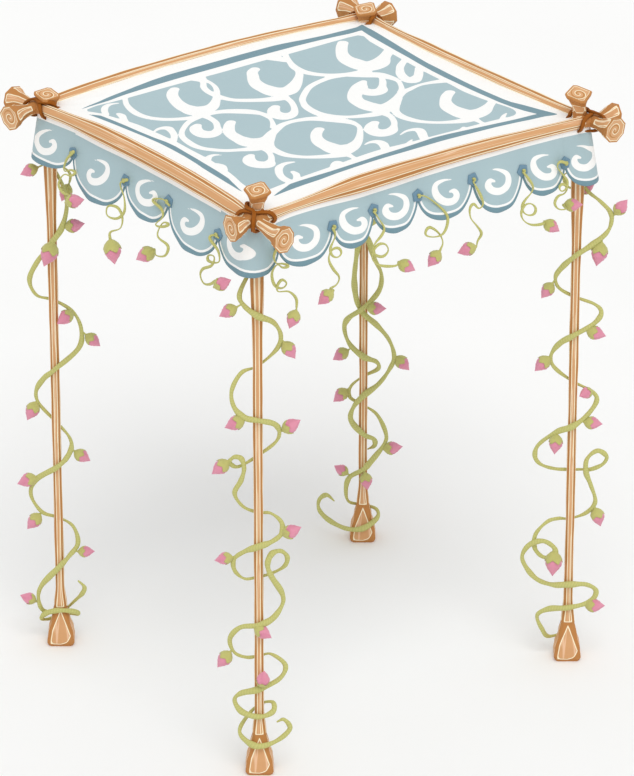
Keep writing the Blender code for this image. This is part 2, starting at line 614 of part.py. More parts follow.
def corner_columns(corner):
    """Columns of a corner lobe: along its X side, round the corner, and along its Y side."""
    place = CORNERS[corner]
    radius, seam = VALANCE_CORNER_RADIUS, TOUCH_GAP / 2
    (reach_x, first), (reach_y, last) = corner_notches(corner)
    straight_x, straight_y = reach_x - radius - seam, reach_y - radius - seam
    arc = radius * pi / 2
    total = straight_x + arc + straight_y
    stops = [0.0, straight_x * 0.35, straight_x * 0.7, straight_x]
    stops += [straight_x + arc * k / 4 for k in (1, 2, 3, 4)]
    stops += [straight_x + arc + straight_y * share for share in (0.2, 0.4, 0.6, 0.8, 0.93, 1.0)]
    columns = []
    for stop in stops:
        bottom = lobe_drop(stop / total, first, last, place["lobe"])
        columns.append([corner_point(place, straight_x, stop, drop) for drop in (0.0, bottom)])
    return columns


def corner_point(place, straight_x, stop, drop):
    """A point of a corner lobe at a distance along it from its end on the X side."""
    radius = VALANCE_CORNER_RADIUS
    arc = radius * pi / 2
    x, y = CROSS_X - radius, CROSS_Y - radius
    if stop <= straight_x:
        x, y = x - straight_x + stop, y + radius
        out = Vector((0, 1, 0))
    elif stop <= straight_x + arc:
        turn = (stop - straight_x) / radius
        out = Vector((sin(turn), cos(turn), 0))
        x, y = x + radius * out.x, y + radius * out.y
    else:
        x, y = x + radius, y - (stop - straight_x - arc)
        out = Vector((1, 0, 0))
    x_rail = "front" if place["y"] < 0 else "back"
    y_rail = "left" if place["x"] < 0 else "right"
    rise = rail_axis(x_rail, x / CROSS_X * place["x"]).z if abs(out.y) > abs(out.x) else \
        rail_axis(y_rail, y / CROSS_Y * place["y"]).z
    bow = RAILS[y_rail]["bow"] * (1 - (y / CROSS_Y) ** 2) if out.x == 1 else 0.0
    spread = VALANCE_STAND_OFF + VALANCE_FLARE * drop + bow
    return Vector((place["x"] * (x + out.x * spread), place["y"] * (y + out.y * spread), rise - drop))


def garland_point(corner, height, side, depth):
    """A point of a garland stem from its height, side offset and depth share."""
    radius = profile_value(POST_PROFILE, height) + stem_radius(depth) - 0.002
    sideways = Vector((cos(GARLAND_FACING), sin(GARLAND_FACING), 0))
    forwards = Vector((sin(GARLAND_FACING), -cos(GARLAND_FACING), 0))
    place = post_centre(corner) + sideways * side + forwards * (depth * radius)
    return place + Vector((0, 0, height))


def stem_radius(depth):
    """A stem is thick in front of its post and thin behind it."""
    return 0.0085 + 0.0030 * max(-1.0, min(depth, 1.0))


def stem(name, corner, route):
    points = [garland_point(corner, *stop) for stop in route]
    radii = [stem_radius(depth) for _, _, depth in route]
    radii[-1] = 0.004
    return points, tube(name, points, radii, 4)


def bud_start(points, tip, size):
    """The point of a stem that a bud grows from: the one that best fits the bud's length."""
    reach = BUD_LENGTH * size
    if size > 1:
        points = [point for point in points if point.z > tip.z + 0.7 * reach]
    return min(points, key=lambda point: abs((point - tip).length - reach * 0.9))


def bud_mesh(name, start, tip, size):
    way = tip - start
    length = BUD_LENGTH * size
    reach = max(length, way.length)
    lead = (reach - length) / reach
    stations = [(lead + share * (1 - lead), radius * size) for share, radius in BUD_PROFILE]
    if lead > 0.02:
        stations = [(0.0, BUD_PROFILE[0][1])] + stations
    way = way.normalized() * reach
    return tube(name, [start + way * share for share, _ in stations], [r for _, r in stations], 4)


def build_garlands(post_cutters):
    sideways = Vector((cos(GARLAND_FACING), sin(GARLAND_FACING), 0))
    forwards = Vector((sin(GARLAND_FACING), -cos(GARLAND_FACING), 0))
    for corner, route in GARLAND_ROUTES.items():
        name = f"{corner}_garland"
        points, mesh = stem(name, corner, route)
        garland = add_object(name, mesh, "garland")
        if corner == "back_right":
            more, fork = stem(name + "_fork", corner, FORK_ROUTE)
            points = points + more
            boolean(garland, "UNION", make_guide(add_object(name + "_fork", fork)))
        for k, (height, side, out, size) in enumerate(BUD_TIPS[corner]):
            tip = post_centre(corner) + sideways * side + forwards * out + Vector((0, 0, height))
            bud = bud_mesh(f"{name}_bud", bud_start(points, tip, size), tip, size)
            boolean(garland, "UNION", make_guide(add_object(f"{name}_bud_{k}", bud)))
        boolean(garland, "DIFFERENCE", post_cutters[corner])


def tendril_mesh(name, side, notch, route, mirror):
    """One sweep: the ribbon tie on the notch, the curled stem, and the bud at its end."""
    along, out = side_frame(side)
    offset, depth = notch
    cloth = side_point(side, offset, depth)
    tilt = (Vector((0, 0, -1)) + out * VALANCE_FLARE).normalized()
    width = side_point(side, offset + 0.02, depth) - side_point(side, offset - 0.02, depth)
    facing = tilt.cross(width).normalized()
    tie_top = cloth + facing * TIE_PROFILE[1][1] - tilt * TIE_LENGTH * 0.7
    points = [tie_top + tilt * TIE_LENGTH * share for share, _ in TIE_PROFILE]
    radii = [radius for _, radius in TIE_PROFILE]
    origin = points[-1]
    curl = [origin + along * (mirror * a) - Vector((0, 0, drop)) for a, drop in route]
    for k, point in enumerate(curl):
        point += out * (0.010 * sin(2.1 * k) + 0.012 * min(1.0, k / 3))
    points += curl[1:]
    radii += [TENDRIL_RADIUS] * (len(curl) - 1)
    heading = (curl[-1] - curl[-2]).normalized() + Vector((0, 0, -0.8)) + along * (mirror * 0.2)
    heading.normalize()
    for share, radius in BUD_PROFILE[1:]:
        points.append(curl[-1] + heading * BUD_LENGTH * 0.9 * share)
        radii.append(radius)
    mesh = tube(name, points, radii, 4)
    # the tie is set down on the outer face of the cloth
    tie = [v.co for v in mesh.vertices if (v.co - points[1]).length < TIE_PROFILE[1][1] * 1.1]
    lowest = min((place - cloth).dot(facing) for place in tie)
    mesh.transform(Matrix.Translation(facing * (CLOTH_THICKNESS / 2 + TOUCH_GAP - lowest)))
    return mesh


def build_tendrils():
    for side, plan in TENDRIL_PLAN.items():
        for k, ((route, mirror), notch) in enumerate(zip(plan, NOTCHES[side]), start=1):
            name = f"{side}_tendril_{k}"
            mesh = tendril_mesh(name, side, notch, TENDRIL_ROUTES[route], mirror)
            add_object(name, mesh, "garland")


def main():
    clear_scene()
    rails, rail_cutters = build_rails()
    post_cutters = build_posts(rail_cutters)
    thong_cutters = build_lashings(rail_cutters, post_cutters)
    build_top(rail_cutters, post_cutters, thong_cutters)
    build_valance(rail_cutters, thong_cutters)
    build_garlands(post_cutters)
    build_tendrils()


main()
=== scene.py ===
import math

import bmesh
import bpy
import numpy as np
from mathutils import Matrix, Vector


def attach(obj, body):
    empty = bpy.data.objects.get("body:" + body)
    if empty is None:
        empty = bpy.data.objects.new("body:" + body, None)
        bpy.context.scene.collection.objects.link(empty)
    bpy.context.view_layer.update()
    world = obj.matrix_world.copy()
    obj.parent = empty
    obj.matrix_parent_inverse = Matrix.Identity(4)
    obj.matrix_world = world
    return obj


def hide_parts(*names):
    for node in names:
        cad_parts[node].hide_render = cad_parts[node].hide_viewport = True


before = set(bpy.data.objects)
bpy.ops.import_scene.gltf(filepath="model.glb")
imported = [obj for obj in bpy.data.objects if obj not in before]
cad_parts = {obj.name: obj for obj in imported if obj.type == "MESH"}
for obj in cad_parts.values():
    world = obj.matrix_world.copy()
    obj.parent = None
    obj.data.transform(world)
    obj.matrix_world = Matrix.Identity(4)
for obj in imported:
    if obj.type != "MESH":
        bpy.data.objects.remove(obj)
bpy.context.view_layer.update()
print("frame loaded")

up = Vector((0, 0, 1))

# The measures that every piece shares
canopy = {
    "crossX": 0.797, "crossY": 0.697,  # where the rails' centre lines cross
    "postX": 0.765, "postY": 0.665,
    "railHeight": 2.30,
    "lapRadius": 0.024,
    "facing": math.radians(-37.4),  # bearing that the garlands and the posts' broad faces look to; the broad faces carry the pale panel, painted as the lit face
}
corners = {"front_left": (-1, -1), "front_right": (1, -1), "back_left": (-1, 1), "back_right": (1, 1)}
sideways = Vector((math.cos(canopy["facing"]), math.sin(canopy["facing"]), 0))
forwards = Vector((math.sin(canopy["facing"]), -math.cos(canopy["facing"]), 0))

# what differs from corner to corner: the post's height, how far the two rails run on past their
# crossing, along X and along Y, and the depth of the valance's corner lobe
cornerWork = {
    "front_left": {"top": 2.415, "overrun": (0.115, 0.185), "lobe": 0.222},
    "front_right": {"top": 2.425, "overrun": (0.120, 0.135), "lobe": 0.242},
    "back_left": {"top": 2.365, "overrun": (0.135, 0.170), "lobe": 0.207},
    "back_right": {"top": 2.365, "overrun": (0.120, 0.150), "lobe": 0.236},
}
postProfile = [
    (0.0, 0.052), (0.014, 0.058), (0.050, 0.054), (0.105, 0.039), (0.160, 0.028), (0.260, 0.0190),
    (0.900, 0.0185), (1.780, 0.0200), (2.060, 0.0275),
]
headProfile = [(0.060, 0.0280), (0.027, 0.0340), (0.006, 0.0450), (0.0, 0.0430)]  # below the top
# spread is how far a rail's pale panel, painted as its lit face, runs over its arrises, hairs how strongly
# hair lines, painted as highlight lines, show on it
rails = {
    "front": {"along": "x", "side": -1, "rise": 0.026, "bow": 0.0, "spread": 0.0042, "hairs": 0.25,
              "radii": [(-0.80, 0.0185), (-0.35, 0.0360), (0.20, 0.0300), (0.80, 0.0235)]},
    "back": {"along": "x", "side": 1, "rise": 0.034, "bow": 0.0, "spread": 0.001, "hairs": 0.8,
             "radii": [(-0.80, 0.0260), (-0.20, 0.0225), (0.30, 0.0205), (0.80, 0.0190)]},
    "left": {"along": "y", "side": -1, "rise": 0.032, "bow": 0.0, "spread": 0.0048, "hairs": 0.25,
             "radii": [(-0.80, 0.0320), (-0.30, 0.0355), (0.30, 0.0350), (0.80, 0.0250)]},
    "right": {"along": "y", "side": 1, "rise": 0.004, "bow": -0.028, "spread": 0.002, "hairs": 0.8,
              "radii": [(-0.80, 0.0230), (-0.20, 0.0270), (0.30, 0.0260), (0.80, 0.0190)]},
}


def eased(profile, at):  # reads (place, value) pairs, eased between its entries
    if at <= profile[0][0]:
        return profile[0][1]
    for (a, low), (b, high) in zip(profile, profile[1:]):
        if at <= b:
            share = (at - a) / (b - a)
            return low + (high - low) * share * share * (3 - 2 * share)
    return profile[-1][1]


def smoothLine(points, steps, closed=False):  # Catmull-Rom through points of any size
    points = [np.array(p, float) for p in points]
    if closed:
        ends = [points[-1]] + points + points[:2]
    else:
        ends = [2 * points[0] - points[1]] + points + [2 * points[-1] - points[-2]]
    out = []
    for a, b, c, d in zip(ends, ends[1:], ends[2:], ends[3:]):
        for k in range(steps):
            t = k / steps
            out.append(0.5 * (2 * b + (c - a) * t + (2 * a - 5 * b + 4 * c - d) * t**2
                              + (3 * b - a - 3 * c + d) * t**3))
    return out if closed else out + [points[-1]]


def railHalf(name):
    return canopy["crossX"] if rails[name]["along"] == "x" else canopy["crossY"]


def railAxis(name, share):  # centre line of a rail, with the crossings at -1 and 1
    rail = rails[name]
    swell = 1 - share * share
    reach = canopy["crossY"] if rail["along"] == "x" else canopy["crossX"]
    across = rail["side"] * (reach + rail["bow"] * swell)
    height = canopy["railHeight"] + rail["rise"] * swell
    if rail["along"] == "x":
        return Vector((canopy["crossX"] * share, across, height))
    return Vector((across, canopy["crossY"] * share, height))


def railOverruns(name):  # at a rail's low end and at its high end
    if rails[name]["along"] == "x":
        return [cornerWork[f"{name}_{end}"]["overrun"][0] for end in ("left", "right")]
    return [cornerWork[f"{end}_{name}"]["overrun"][1] for end in ("front", "back")]


def railFlare(half, overrun):
    end = (half + overrun) / half
    return [(end - 0.055 / half, 0.033), (end - 0.018 / half, 0.048), (end, 0.053)]


def railRadius(name, share):
    half = railHalf(name)
    low, high = (railFlare(half, overrun) for overrun in railOverruns(name))
    lap = 0.045 / half
    body = [(-1 - lap, canopy["lapRadius"]), (-1 + lap, canopy["lapRadius"]), *rails[name]["radii"],
            (1 - lap, canopy["lapRadius"]), (1 + lap, canopy["lapRadius"])]
    return eased([(-at, radius) for at, radius in reversed(low)] + body + high, share)


def postRadius(corner, height):
    top = cornerWork[corner]["top"]
    return eased(postProfile + [(top - below, radius) for below, radius in headProfile], height)


def postCentre(corner):
    x, y = corners[corner]
    return Vector((x * canopy["postX"], y * canopy["postY"], 0))


# Node helpers

def hexColour(text):
    channels = [int(text[k:k + 2], 16) / 255 for k in (0, 2, 4)]
    return (*[c / 12.92 if c <= 0.04045 else ((c + 0.055) / 1.055) ** 2.4 for c in channels], 1.0)


def addNode(tree, kind, inputs=None, **settings):
    made = tree.nodes.new(kind)
    for name, value in settings.items():
        setattr(made, name, value)
    for key, value in (inputs or {}).items():
        if isinstance(value, bpy.types.NodeSocket):
            tree.links.new(value, made.inputs[key])
        else:
            made.inputs[key].default_value = value
    return made


def calc(tree, operation, *values, clamp=False):
    return addNode(tree, "ShaderNodeMath", dict(enumerate(values)), operation=operation,
                   use_clamp=clamp).outputs[0]


def blend(tree, factor, first, second):
    return addNode(tree, "ShaderNodeMix", {0: factor, 6: first, 7: second}, data_type="RGBA").outputs[2]


def noise(tree, vector, scale, detail=2.0, roughness=0.5):
    return addNode(tree, "ShaderNodeTexNoise", {"Vector": vector, "Scale": scale, "Detail": detail,
                                                "Roughness": roughness}).outputs["Fac"]


def stretched(tree, vector, scale, move=(0, 0, 0)):
    return addNode(tree, "ShaderNodeMapping", {"Vector": vector, "Scale": scale,
                                               "Location": move}).outputs[0]


def attribute(tree, name):
    return addNode(tree, "ShaderNodeAttribute", attribute_name=name).outputs["Fac"]


def surfaceMap(tree):
    return addNode(tree, "ShaderNodeUVMap", uv_map="surface").outputs[0]


def objectPlace(tree):
    return addNode(tree, "ShaderNodeTexCoord").outputs["Object"]


def weighted(tree, first, second, clamp=False):  # sum of two (value, weight) pairs
    return calc(tree, "ADD", calc(tree, "MULTIPLY", *first), calc(tree, "MULTIPLY", *second), clamp=clamp)


def distanceTo(tree, value, level):
    return calc(tree, "ABSOLUTE", calc(tree, "SUBTRACT", value, level))


def paint(tree, shader, colour):
    tree.links.new(colour, shader.inputs["Base Color"])


def newGroup(name, inputs, outputs):
    tree = bpy.data.node_groups.new(name, "ShaderNodeTree")
    for label, kind, value in inputs:
        socket = tree.interface.new_socket(label, in_out="INPUT", socket_type="NodeSocket" + kind)
        if value is not None:
            socket.default_value = value
    for label, kind in outputs:
        tree.interface.new_socket(label, in_out="OUTPUT", socket_type="NodeSocket" + kind)
    return tree, tree.nodes.new("NodeGroupInput").outputs, tree.nodes.new("NodeGroupOutput").inputs


def useGroup(tree, group, inputs):
    return addNode(tree, "ShaderNodeGroup", inputs, node_tree=group).outputs


def newMaterial(name, roughness, sheen=0.0, sheenTint=None):
    made = bpy.data.materials.new(name)
    made.use_nodes = True
    shader = made.node_tree.nodes["Principled BSDF"]
    shader.inputs["Roughness"].default_value = roughness
    shader.inputs["Specular IOR Level"].default_value = 0.3
    shader.inputs["Sheen Weight"].default_value = sheen
    if sheenTint:
        shader.inputs["Sheen Tint"].default_value = sheenTint
    return made, made.node_tree, shader


def setBump(tree, shader, height, strength, distance):
    bump = addNode(tree, "ShaderNodeBump", {"Height": height, "Strength": strength,
                                            "Distance": distance})
    tree.links.new(bump.outputs[0], shader.inputs["Normal"])


def makeEdgeGroup():  # a drawn distance becomes a crisp mask, 1 where the distance is negative
    tree, given, out = newGroup("drawnEdge", [("Distance", "Float", 0.0), ("Softness", "Float", 0.001)],
                                [("Mask", "Float")])
    slope = calc(tree, "DIVIDE", given["Distance"], given["Softness"])
    tree.links.new(calc(tree, "SUBTRACT", 0.5, slope, clamp=True), out["Mask"])
    return tree


def makeWeaveGroup():  # plain weave with uneven threads
    tree, given, out = newGroup(
        "plainWeave", [("Vector", "Vector", None), ("Thread", "Float", 0.0016)],
        [("Height", "Float"), ("Tone", "Float")])
    parts = addNode(tree, "ShaderNodeSeparateXYZ", {0: given["Vector"]}).outputs
    pitch = calc(tree, "DIVIDE", math.pi, given["Thread"])
    warp = calc(tree, "SINE", calc(tree, "MULTIPLY", parts[0], pitch))
    weft = calc(tree, "SINE", calc(tree, "MULTIPLY", parts[1], pitch))
    over = calc(tree, "MULTIPLY", warp, weft)
    ridge = calc(tree, "ADD", calc(tree, "ABSOLUTE", warp), calc(tree, "ABSOLUTE", weft))
    weave = weighted(tree, (over, 0.5), (ridge, 0.25))
    slubX = noise(tree, stretched(tree, given["Vector"], (14, 420, 1)), 1.0, 3)
    slubY = noise(tree, stretched(tree, given["Vector"], (420, 14, 1)), 1.0, 3)
    slub = calc(tree, "ADD", slubX, slubY)
    tree.links.new(calc(tree, "ADD", weave, slub), out["Height"])
    cloud = noise(tree, given["Vector"], 5.0, 3)
    tree.links.new(weighted(tree, (slub, 0.35), (cloud, 0.5)), out["Tone"])
    return tree


edgeGroup = makeEdgeGroup()
weaveGroup = makeWeaveGroup()


def drawnMask(tree, distance, softness):
    return useGroup(tree, edgeGroup, {"Distance": distance, "Softness": softness})["Mask"]


def maskBelow(tree, value, limit, softness):
    return drawnMask(tree, calc(tree, "SUBTRACT", value, limit), softness)


woodLook = {
    # tan and tanDeep paint the pale panels as lit faces, edge and edgeDeep the brown facets beside them as
    # painted shade
    "tan": "DCAA7B", "tanDeep": "D29A66", "edge": "C58A4F", "edgeDeep": "B5763B",
    # line is a cream painted highlight: along the panels' edges, on the hair lines and beside a cut end's
    # dark spiral turn
    "line": "FFF3D2", "blush": "EFC7A4", "lineWidth": 0.0036, "lineSoftness": 0.0010,
    "wander": 0.0028,  # how far a panel's edge strays from its drawn place
    "panelSoftness": 0.0008,
    # level, half width, softness and strength of the pale streaks
    "streak": (0.47, 0.022, 0.016, 0.75), "streakFade": 0.06,
    "hairSpacing": 0.0092, "hairDrift": 2.4, "hairWidth": 0.085, "hairSoftness": 0.05,
    "hairGap": (0.5, 0.03),  # level and softness at which the hair lines break off
    "spiralPitch": 0.0210, "spiralReach": 0.0315, "spiralDark": (0.36, 0.05),
    "spiralHighlight": (0.44, 0.075, 0.04),  # the cream painted highlight beside the dark turn: its place in a turn, half width and softness
    "roughness": 0.62, "smoothest": 0.52, "roughGrain": 0.22,
    "lineDepth": 0.7, "spiralDepth": 0.9, "bump": 0.45, "bumpDepth": 0.0012,
}


def makeWood():
    look = woodLook
    made, tree, shader = newMaterial("hewnWood", look["roughness"])
    colours = {key: hexColour(look[key]) for key in ("tan", "tanDeep", "edge", "edgeDeep", "line", "blush")}
    uv = surfaceMap(tree)
    cutEnd = attribute(tree, "endGrain")
    wander = noise(tree, stretched(tree, uv, (30, 9, 1)), 1.0, 2)
    wander = calc(tree, "MULTIPLY", calc(tree, "SUBTRACT", wander, 0.5), look["wander"])
    edge = calc(tree, "ADD", attribute(tree, "panel"), wander)
    # inside the panel the pole is painted pale as its lit face, outside it brown as painted shade
    inPanel = drawnMask(tree, edge, look["panelSoftness"])
    # a cream line along the panel's edge, painted as a highlight
    line = maskBelow(tree, calc(tree, "ABSOLUTE", edge), look["lineWidth"] / 2, look["lineSoftness"])

    # long streaks that follow the pole
    grain = noise(tree, stretched(tree, uv, (330, 2.6, 1)), 1.0, 4, 0.6)
    broad = noise(tree, stretched(tree, uv, (95, 1.3, 1), (3, 5, 0)), 1.0, 2)
    level, half, softness, strength = look["streak"]
    streak = maskBelow(tree, distanceTo(tree, broad, level), half, softness)
    fade = noise(tree, stretched(tree, uv, (18, 3.4, 1), (9, 1, 0)), 1.0, 1)
    shown = drawnMask(tree, calc(tree, "SUBTRACT", 0.5, fade), look["streakFade"])
    streak = calc(tree, "MULTIPLY", streak, shown)
    tan = blend(tree, grain, colours["tanDeep"], colours["tan"])
    tan = blend(tree, calc(tree, "MULTIPLY", streak, strength), tan, colours["blush"])

    # pale hair lines that wander across the hewn faces and come and go, painted as highlight lines on the lit
    # faces
    x, y = addNode(tree, "ShaderNodeSeparateXYZ", {0: uv}).outputs[:2]
    drift = noise(tree, stretched(tree, uv, (0, 1.5, 1), (6, 2, 0)), 1.0, 1)
    strand = calc(tree, "ADD", calc(tree, "DIVIDE", x, look["hairSpacing"]),
                  calc(tree, "MULTIPLY", drift, look["hairDrift"]))
    hair = distanceTo(tree, calc(tree, "FRACT", strand), 0.5)
    gap = noise(tree, stretched(tree, uv, (40, 2.6, 1), (1, 7, 0)), 1.0, 0)
    hairHighlight = calc(tree, "MULTIPLY", maskBelow(tree, hair, look["hairWidth"], look["hairSoftness"]),
                    maskBelow(tree, gap, *look["hairGap"]))
    hairHighlight = calc(tree, "MULTIPLY", hairHighlight, attribute(tree, "strand"))
    tan = blend(tree, hairHighlight, tan, colours["line"])
    # the brown of the facets beside the panel is painted shade
    shadedFacetBrown = blend(tree, grain, colours["edgeDeep"], colours["edge"])
    along = blend(tree, inPanel, shadedFacetBrown, tan)

    # a turned spiral on a sawn end, with a cream painted highlight beside its dark turn
    radius = calc(tree, "SQRT", weighted(tree, (x, x), (y, y)))
    radius = calc(tree, "ADD", radius, calc(tree, "MULTIPLY", wander, 2.0))
    turn = calc(tree, "DIVIDE", calc(tree, "ARCTAN2", y, x), 2 * math.pi)
    ring = calc(tree, "FRACT", calc(tree, "ADD", calc(tree, "DIVIDE", radius, look["spiralPitch"]), turn))
    dark = maskBelow(tree, ring, *look["spiralDark"])
    place, half, softness = look["spiralHighlight"]
    light = maskBelow(tree, distanceTo(tree, ring, place), half, softness)
    inner = maskBelow(tree, radius, look["spiralReach"], 0.002)
    spiral = blend(tree, dark, colours["tan"], colours["edge"])
    spiral = blend(tree, light, spiral, colours["line"])
    face = blend(tree, inner, colours["tan"], spiral)
    face = blend(tree, inPanel, colours["edge"], face)
    colour = blend(tree, cutEnd, along, face)
    # the cream painted highlight along the panel's edge lies over everything
    paint(tree, shader, blend(tree, line, colour, colours["line"]))

    rough = calc(tree, "ADD", look["smoothest"], calc(tree, "MULTIPLY", grain, look["roughGrain"]))
    tree.links.new(rough, shader.inputs["Roughness"])
    sideHeight = calc(tree, "SUBTRACT", grain, calc(tree, "MULTIPLY", line, look["lineDepth"]))
    groove = calc(tree, "MULTIPLY", calc(tree, "MULTIPLY", dark, inner), look["spiralDepth"])
    endHeight = calc(tree, "SUBTRACT", 0.5, groove)
    height = weighted(tree, (sideHeight, calc(tree, "SUBTRACT", 1.0, cutEnd)), (endHeight, cutEnd))
    setBump(tree, shader, height, look["bump"], look["bumpDepth"])
    return made


clothLook = {
    "blue": "B1C7CC", "blueDeep": "A6BFC6", "dark": "7A9BA6", "darkDeep": "6C8E9C",
    "white": "FDFDFB", "lining": "D5E0E3", "thread": 0.0016, "roughness": 0.88, "satin": 0.16,
    "drawnSoftness": 0.0016, "raised": 1.6, "bumpDepth": 0.0004,
}


def makePrintedCloth():  # light blue cloth with applied white scrolls and a dark blue band
    look = clothLook
    made, tree, shader = newMaterial("printedCloth", look["roughness"], sheen=0.12)
    weave = useGroup(tree, weaveGroup, {"Vector": surfaceMap(tree), "Thread": look["thread"]})
    white, dark = (drawnMask(tree, attribute(tree, key), look["drawnSoftness"]) for key in ("white", "dark"))
    ground = blend(tree, weave["Tone"], hexColour(look["blueDeep"]), hexColour(look["blue"]))
    colour = blend(tree, white, ground, hexColour(look["white"]))
    band = blend(tree, weave["Tone"], hexColour(look["darkDeep"]), hexColour(look["dark"]))
    paint(tree, shader, blend(tree, dark, colour, band))
    applied = calc(tree, "MAXIMUM", white, dark)
    satin = calc(tree, "MULTIPLY", applied, look["satin"])
    tree.links.new(calc(tree, "SUBTRACT", look["roughness"], satin), shader.inputs["Roughness"])
    raised = calc(tree, "MULTIPLY", applied, look["raised"])
    setBump(tree, shader, calc(tree, "ADD", weave["Height"], raised), 0.5, look["bumpDepth"])
    return made


def makePlainCloth(name, pale, deep, thread, bump=0.5):
    made, tree, shader = newMaterial(name, clothLook["roughness"], sheen=0.15)
    weave = useGroup(tree, weaveGroup, {"Vector": surfaceMap(tree), "Thread": thread})
    paint(tree, shader, blend(tree, weave["Tone"], hexColour(deep), hexColour(pale)))
    setBump(tree, shader, weave["Height"], bump, clothLook["bumpDepth"])
    return made


leatherLook = {"hide": "A35E14", "hideDeep": "93510F", "edge": "7E470C", "roughness": 0.58, "gloss": 0.18}


def makeLeather():
    look = leatherLook
    made, tree, shader = newMaterial("tieLeather", look["roughness"])
    shader.inputs["Specular IOR Level"].default_value = look["gloss"]
    place = objectPlace(tree)
    pores = addNode(tree, "ShaderNodeTexVoronoi", {"Vector": place, "Scale": 900.0}).outputs["Distance"]
    folds = noise(tree, stretched(tree, surfaceMap(tree), (60, 160, 1)), 1.0, 3)
    wear = noise(tree, place, 34.0, 3)
    rim = maskBelow(tree, attribute(tree, "rim"), 0.0016, 0.0010)
    colour = blend(tree, wear, hexColour(look["hideDeep"]), hexColour(look["hide"]))
    paint(tree, shader, blend(tree, calc(tree, "MULTIPLY", rim, 0.75), colour, hexColour(look["edge"])))
    tree.links.new(calc(tree, "ADD", 0.45, calc(tree, "MULTIPLY", folds, 0.3)), shader.inputs["Roughness"])
    setBump(tree, shader, calc(tree, "ADD", calc(tree, "MULTIPLY", pores, 0.5), folds), 0.5, 0.0008)
    return made


greenLook = {"tape": "CDCA82", "tapeDeep": "B5B469", "felt": "CBC67C", "feltDeep": "B3B166", "turns": 0.011}


def makeStemTape():  # cloth tape wound round a wire
    look = greenLook
    made, tree, shader = newMaterial("stemTape", 0.75)
    uv = surfaceMap(tree)
    around, along = addNode(tree, "ShaderNodeSeparateXYZ", {0: uv}).outputs[:2]
    lap = calc(tree, "FRACT", calc(tree, "ADD", calc(tree, "DIVIDE", along, look["turns"]),
                                   calc(tree, "MULTIPLY", around, 22.0)))
    crepe = noise(tree, stretched(tree, uv, (900, 220, 1)), 1.0, 2)
    tone = weighted(tree, (lap, 0.6), (crepe, 0.5), clamp=True)
    paint(tree, shader, blend(tree, tone, hexColour(look["tapeDeep"]), hexColour(look["tape"])))
    setBump(tree, shader, calc(tree, "ADD", lap, calc(tree, "MULTIPLY", crepe, 0.4)), 0.5, 0.0006)
    return made


def makeFelt():
    look = greenLook
    made, tree, shader = newMaterial("leafFelt", 0.92, sheen=0.3)
    place = objectPlace(tree)
    fibres = noise(tree, place, 1400.0, 4, 0.7)
    tone = weighted(tree, (fibres, 0.5), (noise(tree, place, 60.0, 2), 0.5))
    paint(tree, shader, blend(tree, tone, hexColour(look["feltDeep"]), hexColour(look["felt"])))
    setBump(tree, shader, fibres, 0.5, 0.0005)
    return made


petalLook = {"petal": "E497AC", "petalDeep": "D6839C", "sheen": "FFE3EA", "roughness": 0.5}


def makePetal():  # satin ribbon, paler towards each fold's edge
    look = petalLook
    made, tree, shader = newMaterial("petalSatin", look["roughness"], 0.35, hexColour(look["sheen"]))
    threads = noise(tree, stretched(tree, surfaceMap(tree), (2600, 60, 1)), 1.0, 2)
    tone = weighted(tree, (threads, 0.35), (attribute(tree, "fold"), 0.65), clamp=True)
    paint(tree, shader, blend(tree, tone, hexColour(look["petalDeep"]), hexColour(look["petal"])))
    setBump(tree, shader, threads, 0.3, 0.0003)
    return made


wood = makeWood()
printedCloth = makePrintedCloth()
lining = makePlainCloth("liningCloth", clothLook["lining"], "C6D4D9", 0.0016)
binding = makePlainCloth("bindingTape", clothLook["dark"], clothLook["darkDeep"], 0.0011, 0.7)
knotRibbon = makePlainCloth("knotRibbon", "7798AC", "67899F", 0.0009, 0.6)
leather = makeLeather()
stemTape = makeStemTape()
leafFelt = makeFelt()
petalSatin = makePetal()
print("materials made")


# Mesh helpers

def rolledSheet(rings, uvOf, fields=None, closedRound=True, closedAlong=False):
    # a grid of quads bent over the given rings and sewn along its seams
    fields = fields or {}
    columns = len(rings[0]) if closedRound else len(rings[0]) - 1
    rows = len(rings) if closedAlong else len(rings) - 1
    shape = bmesh.new()
    uvLayer = shape.loops.layers.uv.new("surface")
    layers = {key: shape.verts.layers.float.new(key) for key in fields}
    shape.faces.layers.float.new("endGrain")
    bmesh.ops.create_grid(shape, x_segments=columns, y_segments=rows, size=1.0)
    place = {v: (round((v.co.x + 1) / 2 * columns), round((v.co.y + 1) / 2 * rows)) for v in shape.verts}
    for face in shape.faces:
        face.smooth = True
        for loop in face.loops:
            loop[uvLayer].uv = uvOf(*place[loop.vert])
    for vert, (column, row) in place.items():
        row, column = row % len(rings), column % len(rings[0])
        vert.co = rings[row][column]
        for key, layer in layers.items():
            vert[layer] = fields[key][row][column]
    bmesh.ops.remove_doubles(shape, verts=shape.verts, dist=1e-6)
    return shape


def closeHoles(shape):
    return bmesh.ops.holes_fill(shape, edges=[e for e in shape.edges if e.is_boundary], sides=0)["faces"]


def spoke(side, across, angle):
    return side * math.cos(angle) + across * math.sin(angle)


def roundedStrip(middle, across, normal, halfWidth, halfThick, columns, power):
    # a ring of points that is flatter than an ellipse, and each point's place across it
    ring, places = [], []
    for c in range(columns):
        angle = 2 * math.pi * (c + 0.5) / columns
        wide = math.copysign(abs(math.cos(angle)) ** power, math.cos(angle)) * halfWidth
        tall = math.copysign(abs(math.sin(angle)) ** power, math.sin(angle)) * halfThick
        ring.append(middle + across * wide + normal * tall)
        places.append(wide)
    return ring, places


def frames(points, reference=None):
    # tangent and two axes across it at each point, turning as little as possible
    points = [Vector(p) for p in points]
    out, side = [], None
    for k, point in enumerate(points):
        before, after = points[max(0, k - 1)], points[min(k + 1, len(points) - 1)]
        along = (after - before).normalized()
        if side is None:
            side = reference if reference is not None else (up if abs(along.z) < 0.9 else Vector((1, 0, 0)))
        side = (side - along * side.dot(along)).normalized()
        out.append((along, side, along.cross(side)))
    return out


